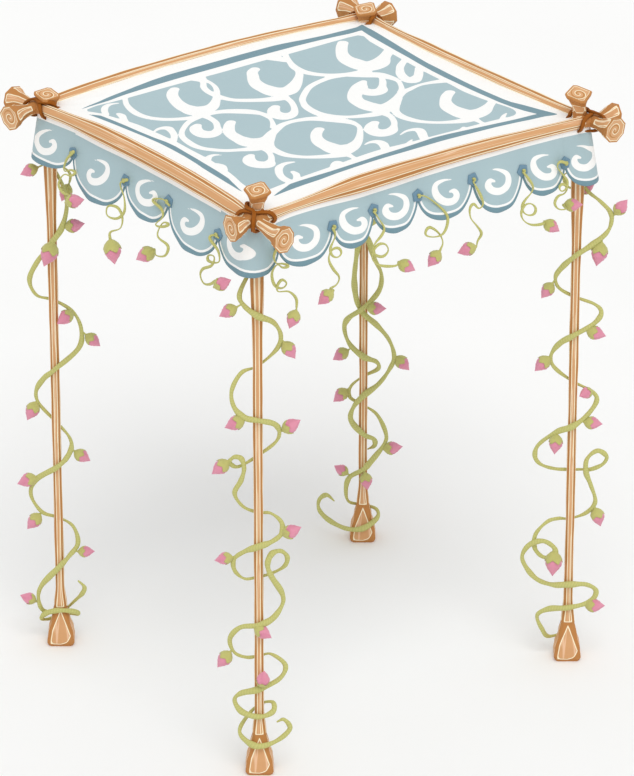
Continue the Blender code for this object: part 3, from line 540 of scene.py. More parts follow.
def tubeShape(points, radii, columns, reference=None):
    rings, lengths = [], [0.0]
    for a, b in zip(points, points[1:]):
        lengths.append(lengths[-1] + (Vector(b) - Vector(a)).length)
    for point, radius, (_, side, across) in zip(points, radii, frames(points, reference)):
        angles = [2 * math.pi * k / columns for k in range(columns)]
        rings.append([Vector(point) + spoke(side, across, a) * radius for a in angles])
    shape = rolledSheet(rings, lambda c, r: (c / columns * 2 * math.pi * radii[r], lengths[r]))
    closeHoles(shape)
    for face in shape.faces:
        face.smooth = True
    return shape


def finishPiece(name, shape, materials, replaced=(), closed=True):
    if closed:
        bmesh.ops.recalc_face_normals(shape, faces=shape.faces)
    mesh = bpy.data.meshes.new(name)
    shape.to_mesh(mesh)
    shape.free()
    for each in materials:
        mesh.materials.append(each)
    piece = bpy.data.objects.new(name, mesh)
    bpy.context.scene.collection.objects.link(piece)
    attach(piece, "root")
    if replaced:
        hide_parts(*replaced)
    return piece


def addTo(shape, other, materialIndex=0):  # puts a second mesh in the first
    for face in other.faces:
        face.material_index = materialIndex
    mesh = bpy.data.meshes.new("part")
    other.to_mesh(mesh)
    other.free()
    shape.from_mesh(mesh)
    bpy.data.meshes.remove(mesh)


def segmentGap(points, a, b):  # distance to a segment, and the share of it at its nearest point
    way = b - a
    share = np.clip(((points - a) @ way) / max(way @ way, 1e-12), 0, 1)
    return np.hypot(*(points - a - share[:, None] * way).T), share


def outlineDistance(points, outline):  # signed distance to a closed outline, negative inside
    points, outline = np.asarray(points, float), np.asarray(outline, float)
    best = np.full(len(points), 9.0)
    inside = np.zeros(len(points), bool)
    for a, b in zip(outline, np.roll(outline, -1, axis=0)):
        way = b - a
        best = np.minimum(best, segmentGap(points, a, b)[0])
        crosses = (a[1] > points[:, 1]) != (b[1] > points[:, 1])
        if way[1]:
            inside ^= crosses & (points[:, 0] < a[0] + way[0] * (points[:, 1] - a[1]) / way[1])
    return np.where(inside, -best, best)


def strokeDistance(points, strokes):  # signed distance to brush strokes given as (x, y, half width)
    points = np.asarray(points, float)
    best = np.full(len(points), 0.05)
    for stroke in strokes:
        line = np.array(smoothLine(stroke, 7))
        low, high = line[:, :2].min(0) - 0.06, line[:, :2].max(0) + 0.06
        near = np.where(((points > low) & (points < high)).all(1))[0]
        for a, b in zip(line, line[1:]):
            gap, share = segmentGap(points[near], a[:2], b[:2])
            best[near] = np.minimum(best[near], gap - a[2] - share * (b[2] - a[2]))
    return best


# Hewn poles

poles = {
    "facets": 8, "perFacet": 4, "girth": 0.12,
    "even": 22.5,  # half the angle of a facet where all eight are alike
    "sharp": 16,  # degrees between faces from which an edge stays sharp
    "wobble": 0.0009,  # how unevenly the arrises are cut
    "waves": (11, 27), "secondWave": 0.6,
    "stationStep": 0.014,
    # a post's stations: close together at the foot and at the head, which is measured from the top
    "closeStep": 0.006, "footStations": 48, "shaftFrom": 0.29, "shaftStep": 0.03, "shaftEnd": 0.125,
    "headFrom": 0.120, "headEnd": 0.003, "headSpan": 0.085,
    # the panels are painted pale as the post's lit face, the facets round them brown as painted shade
    "postPanel": (0.165, 0.099),  # from the foot and from the top
    "broadening": [(0.0, 39.0), (0.06, 38.0), (0.27, 22.5)],
    "headBroadening": [(0.105, 22.5), (0.045, 34.0), (0.0, 36.0)],  # below the top
    "footPanel": [(-0.0400, 0.013), (0.006, 0.011), (0.027, 0.022), (0.0385, 0.047), (0.020, 0.096),
                  (0.001, 0.150), (-0.010, 0.122), (-0.031, 0.070)],
    "neckPanel": [(-0.020, -0.083), (0.020, -0.085), (0.025, -0.045), (-0.024, -0.043)],  # from the top
    "endRings": [(0.0065, 0.0, 0.0), (0.0050, -0.0012, -0.005)],  # inset, depth and panel value
    "endUneven": 0.075,  # how far the corners of a cut end stray from a regular figure
    "railEnd": {"span": 0.075, "twist": 16, "slope": 0.013},
    "railTilt": 34,  # the broad faces, which carry the pale panel painted as the lit face, look up and out, as the rails are seen
    "railPanel": {"fromEnd": 0.009, "outside": 0.036, "inside": 0.046},  # the last two from a crossing
    # each post's head: twist in degrees, lean to the side and forwards, slope of the cut and its bearing
    "heads": {"front_left": (24, 0.004, 0.001, 0.026, 170), "front_right": (-30, -0.003, 0.002, 0.030, 200),
              "back_left": (38, -0.006, 0.002, 0.016, 200), "back_right": (12, 0.002, 0.0, 0.020, 160)},
}


def polygonAt(x, s, outline):
    return float(outlineDistance([(x, s)], outline)[0])


def hewnPole(name, spine, places, reference, radiusAt, halfAngleAt, strips, panels, ends, seed, node):
    # facets alternate between pale hewn faces, which carry the panels painted as lit faces, and brown ones
    # painted as faces in shade
    per, facets = poles["perFacet"], poles["facets"]
    chance = np.random.RandomState(seed)
    phases = chance.uniform(0, 2 * math.pi, (facets, 2))
    stray = chance.uniform(-1, 1, (len(ends), facets))
    rings, values, strands, axes = [], [], [], frames(spine, reference)
    for centre, s, (along, side, across) in zip(spine, places, axes):
        half = math.radians(halfAngleAt(s))
        flat = radiusAt(s) * math.cos(math.radians(poles["even"]))
        arrises = []
        for k in range(facets):
            angle = math.radians(45 * k) + half if k % 2 == 0 else math.radians(45 * (k + 1)) - half
            slow, quick = [math.sin(wave * s + phase) for wave, phase in zip(poles["waves"], phases[k])]
            uneven = slow + poles["secondWave"] * quick
            reach = flat / math.cos(half) + poles["wobble"] * uneven
            shift = Vector((0, 0, 0))
            for end, (place, span, twist, lean, slope, bearing) in enumerate(ends):
                share = max(0.0, 1 - abs(s - place) / span)
                ramp = share * share * (3 - 2 * share)
                angle += math.radians(twist) * ramp
                reach *= 1 + poles["endUneven"] * stray[end][k] * ramp
                away = 1 - math.cos(angle - math.radians(bearing))
                shift += lean * ramp - along * math.copysign(slope * away / 2, place) * ramp
            arrises.append(centre + shift + spoke(side, across, angle) * reach)
        ring, row = [], []
        width = 2 * flat * math.tan(half)

        def panelAt(x):
            found = [max(abs(x) - width / 2 - spread, a - s, s - b) for a, b, spread, _ in strips]
            found += [polygonAt(x, s, outline) for outline in panels]
            return min(found)

        for k in range(facets):
            start, end = arrises[k - 1], arrises[k]
            for j in range(per):
                share = j / per
                ring.append(start.lerp(end, share))
                if k % 2 == 0:
                    row.append(panelAt((share - 0.5) * width))
                else:
                    span = (end - start).length
                    fromStart, fromEnd = share * span, (1 - share) * span
                    row.append(min(panelAt(width / 2) + fromStart, panelAt(-width / 2) + fromEnd))
        rings.append(ring)
        values.append(row)
        strand = max([hairs for a, b, _, hairs in strips if a < s < b], default=0.0)
        strands.append([strand] * len(ring))
    columns = per * facets
    shape = rolledSheet(rings, lambda c, r: (c / columns * poles["girth"], places[r]),
                        {"panel": values, "strand": strands})
    panelLayer = shape.verts.layers.float["panel"]
    grainLayer = shape.faces.layers.float["endGrain"]
    uvLayer = shape.loops.layers.uv["surface"]
    caps = closeHoles(shape)
    bmesh.ops.recalc_face_normals(shape, faces=shape.faces)
    for cap in caps:
        centre = cap.calc_center_median()
        _, side, across = axes[0] if (centre - spine[0]).length < (centre - spine[-1]).length else axes[-1]
        made = [cap]
        for inset, depth, value in poles["endRings"]:
            made += bmesh.ops.inset_region(shape, faces=[cap], thickness=inset, depth=depth)["faces"]
            for vert in cap.verts:
                vert[panelLayer] = value
        for face in made:
            face[grainLayer] = 1.0
            face.smooth = False
            for loop in face.loops:
                place = loop.vert.co - centre
                loop[uvLayer].uv = (place.dot(side), place.dot(across))
    for edge in shape.edges:
        if len(edge.link_faces) == 2 and edge.calc_face_angle() > math.radians(poles["sharp"]):
            edge.smooth = False
    return finishPiece(name, shape, [wood], [node])


def buildPosts():
    for seed, corner in enumerate(corners):
        top = cornerWork[corner]["top"]
        foot = [k * poles["closeStep"] for k in range(poles["footStations"])]
        shaft = np.arange(poles["shaftFrom"], top - poles["shaftEnd"], poles["shaftStep"])
        head = np.arange(top - poles["headFrom"], top - poles["headEnd"], poles["closeStep"])
        places = [float(s) for s in [*foot, *shaft, *head]] + [top]
        broadening = poles["broadening"] + [(top - below, half) for below, half in poles["headBroadening"]]
        neck = [(x, top + s) for x, s in poles["neckPanel"]]
        centre = postCentre(corner)
        spine = [centre + up * s for s in places]
        twist, aside, ahead, slope, bearing = poles["heads"][corner]
        end = (top, poles["headSpan"], twist, sideways * aside + forwards * ahead, slope, bearing)
        low, belowTop = poles["postPanel"]
        hewnPole(
            f"{corner}_post_wood", spine, places, forwards, lambda s, c=corner: postRadius(c, s),
            lambda s, b=broadening: eased(b, s), [(low, top - belowTop, 0.0, 1.0)],
            [poles["footPanel"], neck], [end], seed + 3, f"{corner}_post")


def buildRails():
    tilt = math.radians(poles["railTilt"])
    margin = poles["railPanel"]
    for seed, name in enumerate(rails):
        half = railHalf(name)
        overruns = railOverruns(name)
        low, high = -half - overruns[0], half + overruns[1]
        count = round((high - low) / poles["stationStep"])
        places = [low + (high - low) * k / count for k in range(count + 1)]
        spine = [railAxis(name, s / half) for s in places]
        # the back and right rails are seen from inside, so their broad faces, painted pale as lit faces, look
        # in
        out = Vector((0, -1, 0)) if rails[name]["along"] == "x" else Vector((-1, 0, 0))
        reference = spoke(out, up, tilt)
        spread, hairs = rails[name]["spread"], rails[name]["hairs"]
        strips = [(low + margin["fromEnd"], -half - margin["outside"], 0.0, 1.0),
                  (-half + margin["inside"], half - margin["inside"], spread, hairs),
                  (half + margin["outside"], high - margin["fromEnd"], 0.0, 1.0)]
        cut = poles["railEnd"]
        ends = [(place, cut["span"], cut["twist"] * turn, Vector((0, 0, 0)), cut["slope"],
                 120 * seed + 70 * turn) for place, turn in ((low, 1), (high, -1))]
        hewnPole(f"{name}_rail_wood", spine, places, reference,
                 lambda s, n=name, h=half: railRadius(n, s / h), lambda s: poles["even"],
                 strips, [], ends, seed + 11, f"{name}_rail")


buildPosts()
buildRails()
print("poles built")

# Leather ties at the crossings

ties = {
    "width": 0.0164, "thickness": 0.0098, "columns": 14, "steps": 7, "roundness": 0.55,
    "pullFrom": 0.020, "pullFade": 0.008,  # how near the wood a strap is drawn down on to it
    "lift": 0.0005, "upper": 0.75,  # the second strap lies this share of a thickness higher
    # strap routes: outwards along X, outwards along Y, and up from the crossing
    "across": [
        (0.027, -0.070, 0.000), (0.022, -0.056, 0.020), (0.013, -0.028, 0.031), (0.002, 0.002, 0.038),
        (-0.028, 0.013, 0.031), (-0.056, 0.022, 0.020), (-0.070, 0.027, 0.000), (-0.070, 0.014, -0.022),
        (-0.072, -0.010, -0.028), (-0.076, -0.036, -0.030), (-0.062, -0.062, -0.030),
        (-0.036, -0.076, -0.030), (-0.010, -0.072, -0.028), (0.014, -0.070, -0.022)],
    "around": [
        (0.034, 0.034, -0.004), (0.024, 0.026, 0.018), (0.008, 0.004, 0.038), (0.000, -0.034, 0.033),
        (-0.014, -0.066, 0.026), (-0.042, -0.078, 0.010), (-0.068, -0.066, -0.006),
        (-0.074, -0.038, -0.018), (-0.066, -0.012, -0.028), (-0.034, 0.006, -0.030),
        (0.0, 0.014, -0.030), (0.024, 0.026, -0.024)],
}


def woodUnder(point, corner):  # height above the nearest pole's face, and the way up from it
    best = None
    for name in corner.split("_"):
        coordinate = point.x if rails[name]["along"] == "x" else point.y
        share = coordinate / railHalf(name)
        axis = railAxis(name, share)
        gap = point - axis
        height = gap.length - railRadius(name, share)
        if best is None or height < best[0]:
            best = (height, gap.normalized())
    centre = postCentre(corner)
    gap = Vector((point.x - centre.x, point.y - centre.y, 0))
    height = gap.length - postRadius(corner, point.z)
    if height < best[0]:
        best = (height, gap.normalized())
    return best


def strapShape(corner, route, lift):
    x, y = corners[corner]
    crossing = Vector((x * canopy["crossX"], y * canopy["crossY"], canopy["railHeight"]))
    points = [crossing + Vector((x * a, y * b, h)) for a, b, h in route]
    line = [Vector(p) for p in smoothLine(points, ties["steps"], closed=True)]
    seat = ties["thickness"] / 2 + lift
    normals, count = [], len(line)
    for _ in range(3):
        for k, point in enumerate(line):
            height, way = woodUnder(point, corner)
            pull = max(0.0, min(1.0, (ties["pullFrom"] - height) / ties["pullFade"]))
            line[k] = point - way * (height - seat) * (pull if height > seat else 1.0)
        line = [line[k] * 0.5 + (line[k - 1] + line[(k + 1) % count]) * 0.25 for k in range(count)]
    for k, point in enumerate(line):
        along = (line[(k + 1) % count] - line[k - 1]).normalized()
        _, way = woodUnder(point, corner)
        normals.append((way - along * way.dot(along)).normalized())
    for _ in range(4):
        normals = [(normals[k] * 2 + normals[k - 1] + normals[(k + 1) % count]).normalized()
                   for k in range(count)]
    rings, rims = [], []
    columns, halfWidth = ties["columns"], ties["width"] / 2
    for k, point in enumerate(line):
        along = (line[(k + 1) % count] - line[k - 1]).normalized()
        normal = (normals[k] - along * normals[k].dot(along)).normalized()
        ring, places = roundedStrip(point, along.cross(normal), normal, halfWidth, ties["thickness"] / 2,
                                    columns, ties["roundness"])
        rings.append(ring)
        rims.append([halfWidth - abs(wide) for wide in places])
    return rolledSheet(rings, lambda c, r: (c / columns * 0.04, r * 0.006), {"rim": rims}, closedAlong=True)


def buildTies():
    for corner in corners:
        shape = strapShape(corner, ties["across"], ties["lift"])
        addTo(shape, strapShape(corner, ties["around"], ties["thickness"] * ties["upper"]))
        finishPiece(f"{corner}_tie", shape, [leather], [f"{corner}_lashing"])


buildTies()
print("ties built")

# The stretched top

topSheet = {
    "columns": 216, "rows": 190, "sag": 0.030, "thickness": 0.0022,
    "tuck": 0.006,  # how deep the edge sits inside a rail
    "ripple": 0.0022, "rippleWaves": (7.5, 6.1),
    # creases that fan out from the corners: height, how many, how far they fade and where they start
    "pull": 0.0016, "creases": 16, "creaseFade": 0.35, "creaseStart": 0.12, "creaseEdge": 8,
    "postHole": 0.020,
    "flat": (1.557, 1.371), "area": 2.08,
    # the drawing's units are 1/600 m, measured right and down from a point beyond the far left corner
    "unit": 600.0, "origin": (-0.792, 0.741),
    "slide": (-1.31, -1.71),  # how far a metre of rise carries the drawing towards the near corner
    "bands": [
        [(60, 104), (100, 96), (150, 84), (200, 74), (250, 64), (300, 56), (350, 51), (400, 50), (500, 49),
         (600, 49), (660, 49), (690, 52), (740, 60), (800, 67), (850, 69), (895, 67), (913, 62), (912, 100),
         (907, 140), (900, 200), (893, 250), (887, 300), (882, 350), (880, 400), (877, 450), (875, 500),
         (875, 550), (876, 600), (877, 640), (880, 665), (892, 700), (903, 740), (913, 770), (919, 788),
         (860, 777), (800, 770), (750, 764), (700, 761), (600, 756), (500, 756), (400, 757), (350, 759),
         (300, 762), (250, 768), (200, 771), (150, 776), (106, 781), (130, 769), (160, 757), (180, 748),
         (200, 747), (300, 744), (400, 740), (450, 737), (500, 735), (560, 731), (600, 729), (640, 732),
         (700, 739), (750, 745), (800, 751), (850, 756), (881, 758), (870, 725), (862, 690), (857, 650),
         (856, 600), (855, 550), (855, 500), (855, 450), (858, 400), (862, 350), (867, 300), (871, 250),
         (876, 200), (881, 150), (888, 93), (850, 92), (800, 89), (750, 85), (700, 82), (600, 81),
         (500, 81), (400, 82), (300, 85), (250, 88), (200, 92), (150, 99), (100, 103)],
        [(61, 140), (68, 190), (73, 230), (80, 290), (84, 330), (88, 380), (89, 430), (88, 480), (84, 530),
         (80, 560), (77, 600), (73, 660), (68, 730), (75, 700), (84, 665), (91, 640), (95, 600), (99, 540),
         (102, 500), (104, 460), (106, 420), (104, 385), (98, 350), (93, 300), (89, 250), (84, 205),
         (79, 165)]],
    "field": [
        (78, 113), (200, 112), (400, 112), (600, 112), (750, 113), (861, 114), (860, 160), (854, 219),
        (851, 261), (847, 304), (845, 333), (841, 387), (838, 450), (837, 500), (834, 544), (837, 587),
        (841, 624), (849, 659), (855, 704), (834, 733), (789, 729), (737, 726), (671, 724), (594, 720),
        (529, 716), (464, 711), (376, 717), (307, 724), (230, 731), (150, 740), (100, 742), (97, 690),
        (108, 640), (116, 590), (120, 545), (122, 511), (122, 455), (123, 402), (122, 377), (119, 321),
        (116, 274), (109, 236), (100, 205), (88, 155)],
    # brush strokes of the scrolls: right, down and half width
    "strokes": [
        # rings, which open towards the hooks inside them
        [(190, 104, 6), (164, 150, 7), (152, 200, 9), (157, 238, 9), (176, 266, 9), (200, 284, 9),
         (228, 297, 10), (258, 303, 10)],
        [(400, 106, 8), (387, 140, 7), (370, 166, 8), (361, 200, 9), (364, 240, 10), (376, 268, 9),
         (397, 287, 10), (430, 307, 11), (457, 318, 14), (482, 325, 14)],
        [(652, 104, 7), (638, 128, 8), (625, 160, 8), (615, 190, 11), (613, 220, 12), (621, 245, 11),
         (637, 267, 10), (660, 286, 10), (692, 301, 11), (730, 312, 16)],
        [(258, 303, 10), (225, 314, 8), (203, 327, 7), (171, 355, 6.5), (152, 382, 7.5), (144, 412, 9),
         (142, 442, 9.5), (147, 464, 9), (158, 482, 9), (180, 506, 8.5), (208, 522, 9), (239, 536, 14),
         (258, 540, 14)],
        [(258, 303, 10), (290, 305, 9), (316, 312, 11), (344, 332, 14), (366, 355, 14), (377, 378, 9.5),
         (378, 398, 8), (373, 420, 5), (362, 442, 6), (350, 460, 8)],
        [(700, 305, 10), (650, 292, 9), (615, 295, 8), (577, 306, 8), (550, 322, 8), (512, 356, 8),
         (496, 381, 8), (486, 405, 10), (482, 433, 11), (485, 462, 12), (500, 490, 12), (524, 509, 8),
         (546, 522, 9.5), (581, 535, 13), (608, 535, 15)],
        [(680, 298, 10), (712, 322, 14), (741, 344, 16), (751, 366, 13), (755, 385, 9.5), (754, 405, 6.5),
         (743, 428, 6), (730, 448, 7), (716, 463, 9)],
        [(326, 486, 11), (304, 508, 12), (286, 530, 11), (274, 554, 10), (270, 580, 10.5), (272, 604, 11),
         (281, 622, 9.5), (301, 644, 8), (330, 664, 10), (357, 678, 12), (380, 688, 12)],
        [(687, 488, 11), (652, 517, 15), (632, 549, 10.5), (623, 580, 11.5), (625, 605, 11.5),
         (633, 628, 10), (648, 648, 8.5), (668, 665, 8), (696, 680, 10.5), (722, 689, 14), (742, 692, 13)],
        # hooks, each running on into the next ring
        [(310, 134, 11.5), (296, 146, 13), (281, 166, 14), (267, 200, 15.5), (261, 232, 18.5),
         (263, 252, 22), (272, 275, 27), (309, 276, 17), (340, 253, 11), (366, 222, 8), (382, 200, 7),
         (394, 176, 6), (400, 152, 5.5), (400, 130, 7), (397, 108, 10)],
        [(534, 144, 12), (518, 155, 13), (504, 176, 14), (488, 202, 15), (479, 230, 19), (479, 255, 22),
         (487, 287, 27), (514, 298, 22), (546, 281, 16), (577, 254, 11), (602, 225, 9), (614, 195, 8)],
        [(803, 131, 13), (782, 153, 14), (759, 184, 15), (745, 215, 19.5), (743, 247, 26), (752, 285, 29),
         (788, 287, 25), (825, 262, 15), (860, 236, 13)],
        [(292, 377, 11.5), (275, 393, 13), (254, 422, 14.5), (248, 447, 17), (248, 472, 20), (257, 503, 27),
         (293, 506, 16), (326, 486, 12), (352, 472, 10), (375, 461, 9), (400, 458, 8), (425, 461, 9),
         (454, 471, 12), (485, 497, 16), (507, 530, 13), (512, 553, 8), (508, 574, 6), (492, 598, 7),
         (468, 626, 9), (446, 646, 12), (419, 661, 18), (395, 668, 22)],
        [(690, 356, 8), (674, 367, 14), (655, 384, 20), (622, 410, 17), (602, 440, 18.5), (599, 465, 21.5),
         (603, 493, 25), (620, 518, 24), (652, 511, 19), (687, 486, 11), (718, 466, 10), (742, 461, 8),
         (775, 455, 6), (805, 458, 8), (845, 469, 13)],
        [(652, 400, 18), (661, 424, 22), (686, 426, 16), (706, 406, 9.5), (723, 386, 8.5), (736, 366, 7),
         (744, 350, 8)],
        [(427, 531, 12), (408, 546, 13), (390, 569, 14), (379, 597, 18), (379, 625, 22), (386, 657, 27),
         (419, 661, 18)],
        [(806, 532, 12.5), (785, 546, 13.5), (763, 569, 14), (747, 600, 19.5), (744, 630, 24),
         (752, 666, 29), (786, 671, 21.5), (822, 653, 12.5), (848, 636, 10)],
        # where two strokes meet at the edge
        [(394, 98, 24), (395, 114, 17), (394, 130, 9)],
        [(612, 98, 24), (616, 118, 16), (622, 142, 8)],
        # commas below the rings
        [(268, 310, 11), (269, 330, 9), (264, 357, 8), (250, 382, 8), (241, 395, 10), (224, 408, 15),
         (202, 404, 22), (197, 380, 17), (207, 358, 14), (221, 346, 9.5)],
        [(482, 320, 12), (482, 345, 8.5), (471, 374, 7.5), (452, 405, 8.5), (430, 423, 13.5),
         (406, 420, 22), (403, 395, 17), (416, 374, 14), (431, 361, 10.5)],
        [(852, 306, 8), (822, 328, 9.5), (805, 346, 9.5), (787, 372, 11.5), (778, 400, 13.5),
         (783, 420, 19), (808, 409, 12), (828, 388, 10.5), (844, 366, 8)],
        [(256, 546, 9), (253, 570, 7), (242, 596, 7), (226, 616, 9), (205, 629, 18), (187, 612, 18.5),
         (186, 592, 16.5), (197, 574, 13), (209, 565, 8.5)],
        [(604, 546, 12), (602, 570, 8), (590, 597, 7.5), (573, 619, 8), (548, 638, 16), (522, 634, 22.5),
         (518, 608, 18), (534, 587, 14.5), (551, 576, 11)],
        [(384, 690, 10), (384, 712, 6.5), (383, 742, 7)],
        [(746, 698, 10), (745, 718, 6.5), (744, 745, 7)],
        # parts of scrolls along the border
        [(156, 126, 3), (138, 121, 6), (120, 127, 8), (104, 145, 8), (93, 168, 7)],
        [(118, 181, 6), (117, 195, 9), (108, 216, 8), (101, 232, 8)],
        [(119, 319, 2.5), (138, 312, 6), (155, 319, 11), (153, 338, 9), (141, 366, 8), (122, 390, 8)],
        [(157, 522, 2), (146, 513, 5), (131, 514, 7), (117, 526, 8)],
        [(117, 562, 8), (119, 577, 10), (112, 598, 7)],
        [(264, 652, 3), (250, 648, 6), (235, 649, 7), (218, 658, 9), (203, 676, 9), (192, 697, 9),
         (187, 718, 10), (188, 740, 10)],
        [(227, 696, 6), (225, 710, 8), (217, 724, 8), (207, 738, 10)],
        [(308, 730, 4), (327, 717, 8), (340, 712, 8), (343, 726, 6)],
        [(451, 668, 2), (468, 664, 5), (485, 671, 11), (487, 687, 12), (480, 703, 11), (470, 722, 11)],
        [(530, 720, 3), (542, 715, 4), (555, 708, 2)],
        [(551, 670, 2), (572, 662, 4), (590, 663, 7), (602, 672, 11.5), (598, 688, 11.5), (588, 706, 11),
         (578, 726, 11)],
        [(680, 727, 3), (694, 722, 5)],
        [(826, 713, 2), (812, 721, 5), (798, 732, 6)],
    ],
}


def clothRise(u, v):  # how far the sheet stands above the crossings
    swellX, swellY = 1 - u * u, 1 - v * v
    rise = swellX * ((1 - v) * rails["front"]["rise"] + (1 + v) * rails["back"]["rise"]) / 2
    rise += swellY * ((1 - u) * rails["left"]["rise"] + (1 + u) * rails["right"]["rise"]) / 2
    return rise - topSheet["sag"] * swellX * swellY


def onSheet(drawn):  # drawing units to metres from the sheet's middle
    unit, (left, top), placed = topSheet["unit"], topSheet["origin"], []
    for right, down, *width in drawn:
        x, y = right / unit + left, top - down / unit
        rise = clothRise(x / canopy["crossX"], y / canopy["crossY"])
        slideX, slideY = [rise * way for way in topSheet["slide"]]
        placed.append((x + slideX, y + slideY, *[w / unit for w in width]))
    return placed


def topPoint(u, v):
    swellX, swellY = 1 - u * u, 1 - v * v
    x = u * canopy["crossX"] + (1 + u) / 2 * swellY * rails["right"]["bow"]
    z = canopy["railHeight"] + clothRise(u, v)
    first, second = topSheet["rippleWaves"]
    z += topSheet["ripple"] * math.sin(first * (u + v)) * math.sin(second * (u - v)) * swellX * swellY
    for signX, signY in corners.values():
        alongX, alongY = 1 - u * signX, 1 - v * signY
        reach = math.hypot(alongX, alongY)
        fan = math.sin(topSheet["creases"] * math.atan2(alongY, alongX))
        fan = fan * math.exp(-reach / topSheet["creaseFade"]) * min(1.0, reach / topSheet["creaseStart"])
        z += topSheet["pull"] * fan * min(1.0, topSheet["creaseEdge"] * min(alongX, alongY))
    return Vector((x, v * canopy["crossY"], z))


def roundedOutline(outline):  # softens a drawn edge a little
    return [p[:2] for p in smoothLine(outline, 3, closed=True)]


def buildTop():
    tuck = topSheet["tuck"]
    columns, rows = topSheet["columns"], topSheet["rows"]
    rings = []
    for row in range(rows + 1):
        v = -1 + 2 * row / rows
        ring = []
        for column in range(columns + 1):
            u = -1 + 2 * column / columns
            # each edge stops just inside its rail
            low = -1 + (railRadius("left", v) - tuck) / canopy["crossX"]
            high = 1 - (railRadius("right", v) - tuck) / canopy["crossX"]
            near = -1 + (railRadius("front", u) - tuck) / canopy["crossY"]
            far = 1 - (railRadius("back", u) - tuck) / canopy["crossY"]
            ring.append(topPoint(low + (high - low) * (u + 1) / 2, near + (far - near) * (v + 1) / 2))
        rings.append(ring)
    flatPoints = np.array([(p.x, p.y) for ring in rings for p in ring])
    field = outlineDistance(flatPoints, roundedOutline(onSheet(topSheet["field"])))
    strokes = [onSheet(stroke) for stroke in topSheet["strokes"]]
    white = np.minimum(strokeDistance(flatPoints, strokes), -field)
    dark = np.min([outlineDistance(flatPoints, onSheet(band)) for band in topSheet["bands"]], axis=0)
    grid = (rows + 1, columns + 1)
    fields = {"white": white.reshape(grid).tolist(), "dark": dark.reshape(grid).tolist()}
    shape = rolledSheet(rings, lambda c, r: (rings[r][c].x + 1, rings[r][c].y + 1), fields, closedRound=False)
    inPosts = [f for f in shape.faces if any(
        (f.calc_center_median() - postCentre(corner)).xy.length < topSheet["postHole"] for corner in corners)]
    bmesh.ops.delete(shape, geom=inPosts, context="FACES")
    if sum(f.normal.z for f in shape.faces) < 0:
        bmesh.ops.reverse_faces(shape, faces=shape.faces)
    print("top cloth area", round(sum(f.calc_area() for f in shape.faces), 4))
    piece = finishPiece("top_sheet", shape, [printedCloth, lining], ["canopy_top"], closed=False)
    thicken(piece, topSheet["thickness"])


def thicken(piece, thickness):
    modifier = piece.modifiers.new("clothBody", "SOLIDIFY")
    modifier.thickness = thickness
    modifier.offset = 0.0
    modifier.material_offset = 1


buildTop()
print("top built")

# The valance

valance = {
    "deepest": 0.262, "standOff": 0.006, "flare": 0.14, "cornerRadius": 0.030, "seam": 0.0002,
    # where the scallops meet: distance from a side's middle, left to right from outside, and depth
    "notches": {
        "front": [(-0.709, 0.135), (-0.460, 0.130), (-0.270, 0.119), (-0.062, 0.117), (0.200, 0.116),
                  (0.440, 0.134), (0.648, 0.145)],
        "back": [(-0.697, 0.130), (-0.465, 0.120), (-0.232, 0.126), (0.0, 0.118), (0.232, 0.124),
                 (0.465, 0.131), (0.697, 0.128)],
        "left": [(-0.424, 0.126), (-0.079, 0.135), (0.195, 0.126), (0.506, 0.140)],
        "right": [(-0.597, 0.132), (-0.242, 0.122), (0.113, 0.130), (0.467, 0.127)]},
    "lobes": {
        "front": [0.226, 0.224, 0.219, 0.226, 0.257, 0.238],
        "back": [0.240, 0.226, 0.250, 0.230, 0.255, 0.236],
        "left": [0.262, 0.232, 0.254], "right": [0.236, 0.256, 0.232]},
    "thickness": 0.0022, "columnsPerLobe": 46, "rows": 40, "tuck": 0.007,
    "swell": 0.009,  # a lobe stands out by this much between the ribbons that gather it
    "piping": 0.0085,  # width of the white line inside the binding
    "hem": 0.013,  # white strip under the rail
    "flatSpare": 0.003,  # the slope makes a panel this much taller than its drop
    "voluteHeight": 0.042, "voluteDrop": 0.131, "voluteFollow": 0.5, "plainLobe": 0.235,
    "voluteWidth": {"front": 0.052, "left": 0.060, "back": 0.052, "right": 0.060, "front_left": 0.054,
                    "front_right": 0.050, "back_left": 0.062, "back_right": 0.060},
    "volute": [(0.70, 1.15, 0.02), (-0.10, 1.10, 0.12), (-0.80, 0.75, 0.24), (-0.95, 0.15, 0.35),
               (-0.70, -0.45, 0.36), (-0.10, -0.85, 0.33), (0.60, -0.80, 0.33), (0.95, -0.35, 0.36),
               (0.75, 0.10, 0.22), (0.30, 0.05, 0.08)],
    "bindingNarrow": 0.0065, "bindingWide": 0.0175, "bindingThick": 0.0052, "bindingOver": 0.001,
    "bindingColumns": 10, "bindingRings": 64, "bindingRoundness": 0.6,
    "lobeShape": (2.4, 0.6),  # the two powers that round a lobe's outline
    "voluteShift": {"front_right": -0.024, "front_left": 0.012},
    # which way each lobe's volute turns, left to right as seen from outside
    "turns": {"front": [-1, 1, -1, 1, -1, 1], "left": [-1, 1, -1], "back": [1, -1, 1, -1, 1, -1],
              "right": [1, -1, 1], "front_left": 1, "front_right": -1, "back_left": 1, "back_right": -1},
    "lean": {"front": -0.25, "left": 0.34, "back": -0.1, "right": 0.1, "front_left": 0.30,
             "front_right": -0.22, "back_left": 0.34, "back_right": 0.0},
}
sideWays = {
    "front": (Vector((1, 0, 0)), Vector((0, -1, 0))), "back": (Vector((-1, 0, 0)), Vector((0, 1, 0))),
    "left": (Vector((0, -1, 0)), Vector((-1, 0, 0))), "right": (Vector((0, 1, 0)), Vector((1, 0, 0))),
}


def lobeDrop(share, depths):  # the depths are those of the first notch, the last one and the lobe
    first, last, deepest = depths
    t = abs(2 * share - 1)
    notch = first + (last - first) * share
    inner, outer = valance["lobeShape"]
    return notch + (deepest - notch) * max(0.0, 1 - t**inner) ** outer


